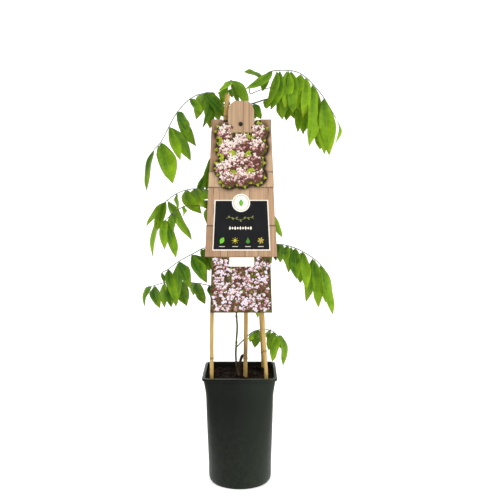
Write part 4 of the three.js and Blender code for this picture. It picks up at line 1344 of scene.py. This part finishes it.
def tier_rows(height):
    close = (0, 0.4, 0.9, 1.6, 2.4, 3.4, 4.6)
    places = {0.0, height, *close, *(height - gap for gap in close)}
    places.update(height * k / 22 for k in range(23))
    return sorted(y / height for y in places if 0 <= y <= height)


def seam_shade(x, seams):
    return max((edge_shade(abs(x - seam), 0.9, 0.75) for seam in seams), default=0.0)


def add_tier(surface, bottom, top, left, right, seams, pale):
    drop = top - bottom

    def spot(s, t):
        slant = TIER_SLOPE * drop * t
        return left + slant + s * (right - left - 2 * slant), bottom + t * drop

    def shade(x, y):
        under_seam = edge_shade(top - y, 3.6, 0.8)
        foot = edge_shade(y - bottom, 0.8, 0.35)
        return max(under_seam, foot, seam_shade(x, seams), posy_shadow(x, y))

    def tone(x):
        return pale[sum(1 for seam in seams if x > seam)]

    add_sheet(surface, spot, board_lines(left, right, seams), tier_rows(drop), tone, shade)


def tab_top(x):
    """Top edge of the tab: flat in the middle, rounded at both shoulders."""
    edge = min(x - TAB["left"], TAB["right"] - x)
    if edge >= TAB_CORNER:
        return TAB["top"]
    bend = TAB_CORNER - 2 * TAB_CORNER_INSET
    t = (math.sqrt(TAB_CORNER_INSET ** 2 + bend * max(edge, 0)) - TAB_CORNER_INSET) / bend
    control = TAB["top"] - TAB_CORNER_INSET
    return (1 - t) ** 2 * TAB["shoulder"] + 2 * t * (1 - t) * control + t * t * TAB["top"]


def add_tab(surface):
    def spot(s, t):
        x = TAB["left"] + s * (TAB["right"] - TAB["left"])
        edge = min(x - TAB["left"], TAB["right"] - x)
        foot = TAB["bottom"] + 6 * (1 - min(edge / 7, 1)) ** 2
        return x, foot + t * (tab_top(x) - foot)

    def shade(x, y):
        rim = edge_shade(min(x - TAB["left"], TAB["right"] - x), 1.6, 0.25)
        foot = edge_shade(y - TAB["bottom"], 2.0, 0.3)
        return max(rim, foot, seam_shade(x, TAB["seams"]))

    def lift(y):
        return PRINT_LIFT + 0.06 + 0.9 * smoothstep(325, 320, y)

    columns = board_lines(TAB["left"], TAB["right"], TAB["seams"])
    rows = sorted({0.01, 0.03, 0.05, 0.07, 0.09, 0.12, 0.14, 0.16, *even(24)})
    add_sheet(surface, spot, columns, rows, 0.5, shade, lift)


def add_ears(surface):
    bottom, top, pale = EAR_TIER
    lower, upper = EAR_MIDDLE[2:]
    for left, right, low, high in (*((a, b, bottom, top) for a, b in EARS), (*EAR_MIDDLE[:2], lower, upper)):
        def spot(s, t, left=left, right=right, low=low, high=high):
            return left + s * (right - left), low + t * (high - low)

        def shade(x, y):
            return max(edge_shade(y - bottom, 0.8, 0.35), 0.6 * posy_shadow(x, y))

        add_sheet(surface, spot, even(16), even(14), pale, shade)


def build_boards(finish):
    surface = Surface()
    for tier in TIERS:
        add_tier(surface, *tier)
    add_ears(surface)
    add_tab(surface)
    piece = make_piece("label_boards", surface, [finish], smooth=False)
    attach(piece, "root")
    return piece


def add_patch(surface, outline, lift, slot=0, mark=0.0, dome=0.0, middle_mark=None):
    """Flat print with a given outline, standing on the card; a dome lifts its middle."""
    centre_x = sum(x for x, _ in outline) / len(outline)
    centre_y = sum(y for _, y in outline) / len(outline)
    top = [on_card(x, y, lift) for x, y in outline]
    foot = [on_card(x, y, lift - 0.12) for x, y in outline]
    count = len(outline)
    points = [*top, *foot, on_card(centre_x, centre_y, lift + dome)]
    faces = []
    for k in range(count):
        after = (k + 1) % count
        faces.append((k, after, 2 * count))
        faces.append((after, k, count + k, count + after))
    places = [(0.0, 0.0, 0.0)] * len(points)
    marks = [mark] * (2 * count) + [mark if middle_mark is None else middle_mark]
    surface.add(points, faces, places, marks, slot)


def turned(outline, angle, x, y, size=1.0):
    """Outline turned by an angle in radians, scaled, and moved to a place on the card."""
    cos, sin = math.cos(angle) * size, math.sin(angle) * size
    return [(x + u * cos - v * sin, y + u * sin + v * cos) for u, v in outline]


def circle(radius, sides=40):
    return [(radius * math.cos(math.tau * k / sides), radius * math.sin(math.tau * k / sides))
            for k in range(sides)]


def petal(length, width, sides=8):
    """Round petal along +x from the flower's middle."""
    outline = []
    for k in range(sides):
        angle = math.tau * k / sides
        reach = 0.5 * length * (1 - math.cos(angle))
        outline.append((reach, width / 2 * math.sin(angle) * (0.55 + 0.45 * reach / length)))
    return outline


def blade(length, width, sides=12):
    """Pointed leaf along +x from its base."""
    outline = []
    for side in (1, -1):
        for k in range(sides // 2):
            share = (k + (side < 0)) / (sides // 2)
            share = share if side > 0 else 1 - share + 1 / (sides // 2)
            outline.append((length * share, -side * width / 2 * math.sin(math.pi * share)))
    return outline


def add_floret(surface, x, y, radius, lift, shade, rng):
    """Four-petalled floret; shade runs from 0, in full light, to 1, and picks each petal's ink."""
    start = rng.uniform(0, math.tau)
    for k in range(4):
        angle = start + math.tau * k / 4 + rng.uniform(-0.2, 0.2)
        depth = shade + rng.uniform(-0.2, 0.2) - 0.18 * math.sin(angle)
        slot = PALE if depth < 0.48 else DUSKY if depth < 0.72 else DEEP
        outline = turned(petal(radius * rng.uniform(0.85, 1.1), radius * 0.95), angle, x, y)
        mark = min(max(depth, 0.0), 1.0)
        add_patch(surface, outline, lift + 0.008 * (k % 2), slot, mark * 0.5, 0.07, mark * 0.6 + 0.4)
    if shade < 0.6:
        add_patch(surface, turned(circle(radius * 0.15, 6), 0, x, y), lift + 0.06, GOLD, rng.random(), 0.03)


def add_head(surface, head, lift, rng):
    """Round flower head: florets in a spiral, laid from its rim inwards, lit from the upper left."""
    head_x, head_y, radius, dusky = head
    rim = turned(circle(1.0, 36), 0, head_x + 0.6, head_y - 1.0, radius + 1.2)
    add_patch(surface, rim, lift, THICKET)
    count = round((radius / 3.05) ** 2)
    for k in range(count, 0, -1):
        reach = radius * math.sqrt(k / count) * 0.93
        angle = 2.39996 * k + head_x
        x = head_x + reach * math.cos(angle) + rng.uniform(-0.7, 0.7)
        y = head_y + reach * math.sin(angle) + rng.uniform(-0.7, 0.7)
        slope = (0.45 * (x - head_x) - 0.8 * (y - head_y)) / radius
        shade = 0.55 + dusky + 0.42 * slope + rng.uniform(-0.32, 0.32) + 0.1 * (k % 3 == 0)
        lifted = lift + 0.02 + 0.14 * (1 - k / count)
        add_floret(surface, x, y, rng.uniform(2.9, 4.2), lifted, shade, rng)


def add_printed_leaf(surface, x, y, length, angle, lift, rng):
    outline = turned(blade(length, length * rng.uniform(0.38, 0.5)), angle, x, y)
    add_patch(surface, outline, lift, LIME, rng.uniform(0.4, 1.0), 0.06, rng.uniform(0.0, 0.5))


def build_posy(finishes):
    """Generic posy of round flower heads in whites and dusky pinks, with lime leaves."""
    rng = random.Random(SEED + 1)
    surface = Surface()
    for k, (head_x, head_y, radius, _) in enumerate(HEADS):
        backing = turned(circle(1.0, 36), 0, head_x + 0.8, head_y - 1.2, radius + 3)
        add_patch(surface, backing, 0.28 + 0.001 * k, THICKET)
    for k, (head_x, head_y, radius, _) in enumerate(HEADS):
        outward = math.atan2(head_y - 270, head_x - 3)
        leaves = 6 if head_x < -20 else 3
        for leaf in range(leaves):
            angle = outward + (leaf - (leaves - 1) / 2) * 0.62 + rng.uniform(-0.2, 0.2)
            x = head_x + (radius - 6) * math.cos(angle)
            y = head_y + (radius - 6) * math.sin(angle)
            if y + 8 < 318 or not TAB["left"] - 6 < x < TAB["right"] + 6:
                lift = 0.34 + 0.003 * (6 * k + leaf)
                add_printed_leaf(surface, x, y, rng.uniform(11, 14), angle, lift, rng)
    for k, head in enumerate(HEADS):
        add_head(surface, head, 0.6 + 0.02 * k, rng)
    for x, y, angle in ((-30, 305, 3.5), (-27, 274, 3.3), (-10, 286, 4.4), (12, 283, 5.6), (-9, 252, 4.6),
                        (17, 254, 5.2), (17, 307, 1.2)):
        for turn in (-0.9, 0.1, 0.8):
            add_printed_leaf(surface, x, y, rng.uniform(6, 12), angle + turn, 0.97 + 0.01 * turn, rng)
    piece = make_piece("label_posy", surface, finishes, smooth=False)
    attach(piece, "root")
    return piece


def build_floret_strip(finishes):
    """Print of the lower strip: small pale florets over a dark thicket."""
    rng = random.Random(SEED + 2)
    surface = Surface()
    low, high, height = STRIP["bottom"], STRIP["top"], STRIP["height"]

    def edges(y):
        share = y / height
        return [low[k] + (high[k] - low[k]) * share for k in (0, 1)]

    def spot(s, t):
        left, right = edges(t * height)
        return left + s * (right - left), t * height

    add_sheet(surface, spot, even(2), even(2), 0.0, lambda x, y: 0.0, 0.2, THICKET)
    spots = []
    for row in range(22):
        for column in range(-12, 13):
            y = 2.6 + row * 4.5 + rng.uniform(-2, 2)
            x = 2.8 + column * 4.8 + (2.4 if row % 2 else 0) + rng.uniform(-2, 2)
            left, right = edges(min(max(y, 0), height))
            if left + 3 < x < right - 3 and 3 < y < height - 3:
                spots.append((x, y))
    rng.shuffle(spots)
    for k, (x, y) in enumerate(spots):
        clump = noise.noise(Vector((x * 0.09, y * 0.09, 4.0)))
        lift = 0.3 + 0.001 * k
        if clump < -0.35 or rng.random() < 0.16:
            continue
        if rng.random() < 0.06:
            add_printed_leaf(surface, x, y, rng.uniform(3.5, 5), rng.uniform(0, math.tau), lift, rng)
            continue
        shade = 0.44 - 0.6 * clump + rng.uniform(-0.4, 0.4)
        add_floret(surface, x, y, rng.uniform(2.2, 4.0), lift, shade, rng)
    piece = make_piece("label_floret_strip", surface, finishes, smooth=False)
    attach(piece, "root")
    return piece


def inset_board(inset):
    low_left, low_right, low = BOARD["bottom"]
    top_left, top_right, top = BOARD["top"]
    return [(low_left + inset, low + inset), (low_right - inset, low + inset),
            (top_right - inset, top - inset), (top_left + inset, top - inset)]


def add_symbols(surface):
    """Four plain growing symbols: leaf, sun, drop and flower."""
    leaf, sun, drop, flower = SYMBOLS
    y = SYMBOL_HEIGHT
    leaf_outline = turned(blade(13, 8), math.radians(60), leaf - 3.2, y - 5.6)
    add_patch(surface, leaf_outline, PANEL_LIFT, LEAF_GREEN, 1.0)
    add_patch(surface, turned(circle(2.8, 24), 0, sun, y), PANEL_LIFT, SUN_GOLD, 0.2)
    for k in range(8):
        ray = [(3.9, -0.5), (6.2, -0.25), (6.2, 0.25), (3.9, 0.5)]
        add_patch(surface, turned(ray, math.tau * k / 8, sun, y), PANEL_LIFT, SUN_GOLD, 0.2)
    tear = [(3.6 * math.sin(math.tau * k / 24), -3.6 * math.cos(math.tau * k / 24)) for k in range(24)]
    tear = [(u * (1 - 0.9 * max(v, 0) / 3.6), v * (2.0 if v > 0 else 1.0)) for u, v in tear]
    add_patch(surface, turned(tear, 0, drop, y - 1.5), PANEL_LIFT, LEAF_GREEN, 0.25)
    for k in range(6):
        outline = turned(petal(6.0, 2.8), math.tau * k / 6 + 0.26, flower, y)
        add_patch(surface, outline, PANEL_LIFT, SUN_GOLD, 0.35)
    add_patch(surface, turned(circle(1.5, 16), 0, flower, y), PANEL_LIFT + 0.08, BLUSH, 0.5)
    for x in SYMBOLS:
        bar = [(x - 5, y - 11), (x + 5, y - 11), (x + 5, y - 10.1), (x - 5, y - 10.1)]
        add_patch(surface, bar, PANEL_LIFT, CREAM, 0.6)


def add_flourish(surface):
    """A plain sprig over a row of lozenges."""
    middle, height = 0.8, 167
    steps = 36
    wave = [(middle - 25 + 50 * k / steps, height + 2.0 * math.sin(math.tau * 1.5 * k / steps))
            for k in range(steps + 1)]
    for (x0, y0), (x1, y1) in zip(wave, wave[1:]):
        stroke = [(x0, y0 - 0.35), (x1, y1 - 0.35), (x1, y1 + 0.35), (x0, y0 + 0.35)]
        add_patch(surface, stroke, PANEL_LIFT - 0.02, SPRIG_OLIVE, 0.3)
    for k in range(3, steps, 5):
        x, y = wave[k]
        lean = math.radians(50 if k % 2 else -50)
        add_patch(surface, turned(blade(5, 2.6), lean, x, y), PANEL_LIFT, SPRIG_OLIVE, 0.3)
    for k in range(-4, 5):
        tall = 3.6 if k % 2 == 0 else 2.4
        lozenge = [(-1.9, 0), (0, -tall), (1.9, 0), (0, tall)]
        add_patch(surface, turned(lozenge, 0, 1.8 + 4.6 * k, 150.2), PANEL_LIFT, CREAM, 0.9)


def build_chalkboard(finishes):
    """Chalkboard panel with its cream frame, pale round badge, symbols and a bare white patch."""
    surface = Surface()
    add_patch(surface, inset_board(0), 0.4, CREAM, 0.9)
    add_patch(surface, inset_board(BOARD["rim"]), 0.5, CHALK_BLACK, 0.0)
    x, y = BADGE["centre"]
    add_patch(surface, turned(circle(BADGE["radius"], 56), 0, x, y), 0.6, CREAM, 1.0)
    add_patch(surface, turned(circle(BADGE["radius"] - 2.4, 56), 0, x, y), 0.66, SPRIG_OLIVE, 0.2)
    add_patch(surface, turned(circle(BADGE["radius"] - 3.1, 56), 0, x, y), 0.72, CREAM, 1.0)
    add_patch(surface, turned(blade(13, 7.5), math.radians(90), x, y - 6.5), 0.78, LEAF_GREEN, 0.8)
    add_symbols(surface)
    add_flourish(surface)
    left, right, low, high = PATCH
    add_patch(surface, [(left, low), (right, low), (right, high), (left, high)], 0.95, CREAM, 1.0)
    piece = make_piece("label_chalkboard", surface, finishes, smooth=False)
    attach(piece, "root")
    return piece


def paint_card(finish):
    """The card keeps its own solid and gets its finish."""
    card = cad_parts["label_card"]
    card.data.materials.clear()
    card.data.materials.append(finish)
    return card


# ------------------------------------------------------------ stage
STAGE_HALF_WIDTH = 3.0
STAGE_FRONT = -2.5
STAGE_BACK = 1.8
STAGE_HEIGHT = 2.6
STAGE_BEND = 0.8
CAMERA_PLACE = (0.01867, -1.380, 0.5596)
CAMERA_DOWNWARD = 0.0928
CAMERA_LENS = 54.41
CAMERA_SENSOR = 36


def build_backdrop(finish):
    """Pale floor that sweeps up into a wall behind the pot."""
    profile = [(STAGE_FRONT, 0.0), (STAGE_BACK - STAGE_BEND, 0.0)]
    for k in range(1, 17):
        angle = math.pi / 2 * k / 16
        profile.append((STAGE_BACK - STAGE_BEND + STAGE_BEND * math.sin(angle),
                        STAGE_BEND * (1 - math.cos(angle))))
    profile.append((STAGE_BACK, STAGE_HEIGHT))
    surface = Surface()
    points = [(side * STAGE_HALF_WIDTH / MM, y / MM, z / MM) for y, z in profile for side in (-1, 1)]
    faces = [(2 * k, 2 * k + 1, 2 * k + 3, 2 * k + 2) for k in range(len(profile) - 1)]
    surface.add(points, faces)
    floor = make_piece("stage_floor", surface, [finish])
    floor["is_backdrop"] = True
    return floor


def stage_finish(colour, glow):
    """Pale paper backdrop with a hardly visible mottle, lit a little from within."""
    finish = Finish("pale_backdrop", 0.9, Specular_IOR_Level=0.0)
    finish.shader.inputs["Emission Color"].default_value = (1.0, 1.0, 1.0, 1.0)
    finish.shader.inputs["Emission Strength"].default_value = glow
    mottle = finish.noise(finish.surface, 3, 2)
    base = finish.mix(finish.range(mottle, 0.4, 0.6), colour, srgb(250, 250, 250))
    return finish.done(base)


def add_light(name, place, target, size, power, colour=(1.0, 1.0, 1.0)):
    lamp = bpy.data.lights.new(name, "AREA")
    lamp.shape = "RECTANGLE"
    lamp.size, lamp.size_y = size
    lamp.energy = power
    lamp.color = colour
    made = bpy.data.objects.new(name, lamp)
    made.location = place
    made.rotation_euler = (Vector(target) - Vector(place)).to_track_quat("-Z", "Y").to_euler()
    bpy.context.scene.collection.objects.link(made)


def add_camera():
    lens = bpy.data.cameras.new("studio_camera")
    lens.sensor_width = CAMERA_SENSOR
    lens.lens = CAMERA_LENS
    lens.dof.use_dof = False
    camera = bpy.data.objects.new("studio_camera", lens)
    camera.location = CAMERA_PLACE
    camera.rotation_euler = (math.pi / 2 - CAMERA_DOWNWARD, 0, 0)
    bpy.context.scene.collection.objects.link(camera)
    bpy.context.scene.camera = camera


def set_world(above, ahead):
    """Air light that falls from bright overhead to dim at eye level; seen directly it is plain white."""
    world = bpy.data.worlds.new("studio_air")
    world.use_nodes = True
    tree = world.node_tree
    direction = tree.nodes.new("ShaderNodeTexCoord").outputs["Generated"]
    parts = tree.nodes.new("ShaderNodeSeparateXYZ")
    fall = tree.nodes.new("ShaderNodeMapRange")
    tree.links.new(direction, parts.inputs[0])
    tree.links.new(parts.outputs["Z"], fall.inputs["Value"])
    for socket, value in (("From Min", 0.05), ("From Max", 0.75), ("To Min", ahead), ("To Max", above)):
        fall.inputs[socket].default_value = value
    plain = tree.nodes.new("ShaderNodeMix")
    tree.links.new(tree.nodes.new("ShaderNodeLightPath").outputs["Is Camera Ray"], plain.inputs[0])
    tree.links.new(fall.outputs["Result"], plain.inputs[2])
    plain.inputs[3].default_value = 1.0
    tree.links.new(plain.outputs[0], tree.nodes["Background"].inputs["Strength"])
    tree.nodes["Background"].inputs["Color"].default_value = (1.0, 1.0, 1.0, 1.0)
    bpy.context.scene.world = world
    bpy.context.scene.view_settings.view_transform = "Standard"


# ------------------------------------------------------------ settings
def colour_setting(name, description, default):
    return bpy.props.FloatVectorProperty(
        name=name, description=description, default=default, subtype="COLOR", size=4, min=0, max=1)


class PotSettings(bpy.types.PropertyGroup):
    plastic: colour_setting("Plastic", "Colour of the pot's plastic", srgb(9, 12, 10))
    compost: colour_setting("Compost", "Darkest colour of the compost", srgb(20, 14, 9))
    crumbs: bpy.props.IntProperty(
        name="Crumbs", description="Number of loose clods and bark chips", default=1700, min=0)


class CaneSettings(bpy.types.PropertyGroup):
    light: colour_setting("Straw", "Light colour of the canes", srgb(206, 176, 104))
    shade: colour_setting("Straw shade", "Darker colour of the canes' fibres", srgb(164, 126, 60))
    clip: colour_setting("Clip", "Colour of the cane clip", srgb(18, 18, 16))


class LeafSettings(bpy.types.PropertyGroup):
    sunny: colour_setting("Sunny leaf", "Brightest green of the leaflets", srgb(140, 180, 26))
    shaded: colour_setting("Shaded leaf", "Darkest green of the leaflets", srgb(54, 96, 20))
    vein: colour_setting("Veins", "Colour of the midrib and side veins", srgb(150, 182, 60))
    stalk: colour_setting("Stalk", "Colour of the leaf stalks", srgb(80, 94, 44))
    bark: colour_setting("Young bark", "Colour of the young stem", srgb(108, 116, 68))
    old_bark: colour_setting("Old bark", "Colour of the woody foot", srgb(62, 44, 26))
    fold: bpy.props.FloatProperty(
        name="Fold", description="How far a leaflet is folded along its midrib", default=0.18, min=-1, max=1)
    wave: bpy.props.FloatProperty(
        name="Wave", description="Height of the waves along a leaflet's edge", default=0.2, min=0, max=1)
    tone_range: bpy.props.FloatProperty(
        name="Tone range", description="Difference in green between leaflets", default=0.42, min=0, max=2)


class LabelSettings(bpy.types.PropertyGroup):
    cream: colour_setting("Cream", "Colour of the label's frame and badge", srgb(252, 246, 232))
    petal: colour_setting("Petal", "Pink of the pale florets' shaded side", srgb(216, 168, 166))
    rose: colour_setting("Rose", "Dusky rose of the shaded florets", srgb(150, 86, 84))
    leaf: colour_setting("Lime leaf", "Colour of the printed leaves", srgb(186, 200, 52))


class StageSettings(bpy.types.PropertyGroup):
    floor: colour_setting("Floor", "Colour of the backdrop", srgb(252, 252, 252))
    glow: bpy.props.FloatProperty(
        name="Glow", description="Light that the backdrop gives off by itself", default=0.42, min=0)
    above: bpy.props.FloatProperty(
        name="Overhead", description="Brightness of the light from above", default=1.1, min=0)
    ahead: bpy.props.FloatProperty(
        name="Eye level", description="Brightness of the light from eye level", default=0.22, min=0)
    key: bpy.props.FloatProperty(
        name="Key light", description="Power of the large right-hand light", default=17, min=0,
        subtype="POWER", unit="POWER")
    fill: bpy.props.FloatProperty(
        name="Fill light", description="Power of the left-hand light", default=4, min=0,
        subtype="POWER", unit="POWER")


class ClimberSettings(bpy.types.PropertyGroup):
    pot: bpy.props.PointerProperty(type=PotSettings, name="Pot", description="Pot and compost")
    canes: bpy.props.PointerProperty(type=CaneSettings, name="Canes", description="Canes and clip")
    leaves: bpy.props.PointerProperty(type=LeafSettings, name="Leaves", description="Stem and fronds")
    label: bpy.props.PointerProperty(type=LabelSettings, name="Label", description="Label's print")
    stage: bpy.props.PointerProperty(type=StageSettings, name="Stage", description="Floor and light")


# ------------------------------------------------------------ operators
class CLIMBER_OT_stage(bpy.types.Operator):
    """Set up the floor, the lights and the camera"""

    bl_idname = "climber.stage"
    bl_label = "Stage"

    def execute(self, context):
        settings = context.scene.climber.stage
        add_camera()
        build_backdrop(stage_finish(tuple(settings.floor), settings.glow))
        set_world(settings.above, settings.ahead)
        add_light("key_light", (1.5, -1.3, 0.75), (0, 0, 0.35), (0.9, 1.3), settings.key)
        add_light("fill_light", (-1.5, 0.45, 0.9), (0, 0, 0.35), (0.3, 1.6), settings.fill)
        return {"FINISHED"}


class CLIMBER_OT_pot(bpy.types.Operator):
    """Build the pot and its drain holes"""

    bl_idname = "climber.pot"
    bl_label = "Pot"

    def execute(self, context):
        build_pot(pot_finish(tuple(context.scene.climber.pot.plastic)))
        return {"FINISHED"}


class CLIMBER_OT_compost(bpy.types.Operator):
    """Build the compost with its crumbs and bark chips"""

    bl_idname = "climber.compost"
    bl_label = "Compost"

    def execute(self, context):
        settings = context.scene.climber.pot
        build_soil(compost_finish(tuple(settings.compost)), settings.crumbs)
        return {"FINISHED"}


class CLIMBER_OT_canes(bpy.types.Operator):
    """Build the canes"""

    bl_idname = "climber.canes"
    bl_label = "Canes"

    def execute(self, context):
        settings = context.scene.climber.canes
        finish = bamboo_finish(tuple(settings.light), tuple(settings.shade))
        for number, (name, cane) in enumerate(CANES.items()):
            build_cane(name, cane, finish, number + 1)
        return {"FINISHED"}


class CLIMBER_OT_clip(bpy.types.Operator):
    """Build the clip that joins the canes, with the peg that holds the label"""

    bl_idname = "climber.clip"
    bl_label = "Clip"

    def execute(self, context):
        build_clip(clip_finish(tuple(context.scene.climber.canes.clip)))
        return {"FINISHED"}


class CLIMBER_OT_stem(bpy.types.Operator):
    """Build the woody foot and the twining stem"""

    bl_idname = "climber.stem"
    bl_label = "Stem"

    def execute(self, context):
        settings = context.scene.climber.leaves
        build_stem(bark_finish(tuple(settings.bark), tuple(settings.old_bark)))
        return {"FINISHED"}


class CLIMBER_OT_fronds(bpy.types.Operator):
    """Build every frond and the shoot tip"""

    bl_idname = "climber.fronds"
    bl_label = "Fronds"

    def execute(self, context):
        settings = context.scene.climber.leaves
        greens = tuple(settings.sunny), tuple(settings.shaded), tuple(settings.vein)
        blade_finish = leaf_finish("leaf_blade", *greens)
        stalk = stalk_finish(tuple(settings.stalk))
        for number, (name, frond) in enumerate(FRONDS.items()):
            build_frond(name, frond, [blade_finish, stalk], settings, number)
        return {"FINISHED"}


class CLIMBER_OT_label(bpy.types.Operator):
    """Finish the label's card and build its print"""

    bl_idname = "climber.label"
    bl_label = "Label"

    def execute(self, context):
        settings = context.scene.climber.label
        cream = tuple(settings.cream)
        pale = ink_finish("print_pale_petals", srgb(250, 240, 232), tuple(settings.petal))
        dusky = ink_finish("print_dusky_petals", tuple(settings.petal), tuple(settings.rose))
        deep = ink_finish("print_deep_petals", tuple(settings.rose), srgb(58, 34, 24))
        lime = ink_finish("print_lime_leaves", srgb(98, 108, 30), tuple(settings.leaf))
        gold = ink_finish("print_gold", srgb(212, 200, 66), srgb(150, 134, 50))
        green = ink_finish("print_green", srgb(52, 112, 52), srgb(112, 196, 48))
        mauve = ink_finish("print_mauve_petals", srgb(246, 236, 244), srgb(194, 160, 188))
        plain = ink_finish("print_cream", srgb(214, 204, 186), cream)
        olive = ink_finish("print_olive", srgb(120, 128, 60), srgb(150, 150, 84))
        paint_card(card_finish())
        build_boards(wood_finish())
        thicket = thicket_finish()
        build_posy([thicket, pale, dusky, deep, lime, gold])
        build_floret_strip([thicket, mauve, dusky, deep, lime, gold])
        build_chalkboard([board_finish(), plain, dusky, green, gold, olive])
        return {"FINISHED"}


class CLIMBER_PT_panel(bpy.types.Panel):
    """Lists the settings and the parts"""

    bl_idname = "CLIMBER_PT_panel"
    bl_label = "Potted climber"
    bl_space_type = "VIEW_3D"
    bl_region_type = "UI"
    bl_category = "Climber"

    def draw(self, context):
        settings = context.scene.climber
        for group_name in ("pot", "canes", "leaves", "label", "stage"):
            group = getattr(settings, group_name)
            box = self.layout.box()
            box.label(text=group_name.capitalize())
            for key in group.__annotations__:
                box.prop(group, key)
        for operator in OPERATORS:
            self.layout.operator(operator.bl_idname)


OPERATORS = (
    CLIMBER_OT_stage,
    CLIMBER_OT_pot,
    CLIMBER_OT_compost,
    CLIMBER_OT_canes,
    CLIMBER_OT_clip,
    CLIMBER_OT_stem,
    CLIMBER_OT_fronds,
    CLIMBER_OT_label,
)
CLASSES = (
    PotSettings, CaneSettings, LeafSettings, LabelSettings, StageSettings, ClimberSettings,
    *OPERATORS, CLIMBER_PT_panel,
)


def register():
    for each in CLASSES:
        bpy.utils.register_class(each)
    bpy.types.Scene.climber = bpy.props.PointerProperty(
        type=ClimberSettings, name="Climber", description="Settings of the potted climber")


def unregister():
    del bpy.types.Scene.climber
    for each in reversed(CLASSES):
        bpy.utils.unregister_class(each)


def write_sizes():
    sizes = {"cad_box": CAD_BOX, "visual_box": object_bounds()}
    plain = {name: [[float(v) for v in corner] for corner in box] for name, box in sizes.items()}


def main():
    register()
    bpy.ops.climber.stage()
    bpy.ops.climber.pot()
    bpy.ops.climber.compost()
    bpy.ops.climber.canes()
    bpy.ops.climber.clip()
    bpy.ops.climber.stem()
    bpy.ops.climber.fronds()
    bpy.ops.climber.label()
    write_sizes()


if __name__ == "__main__":
    main()
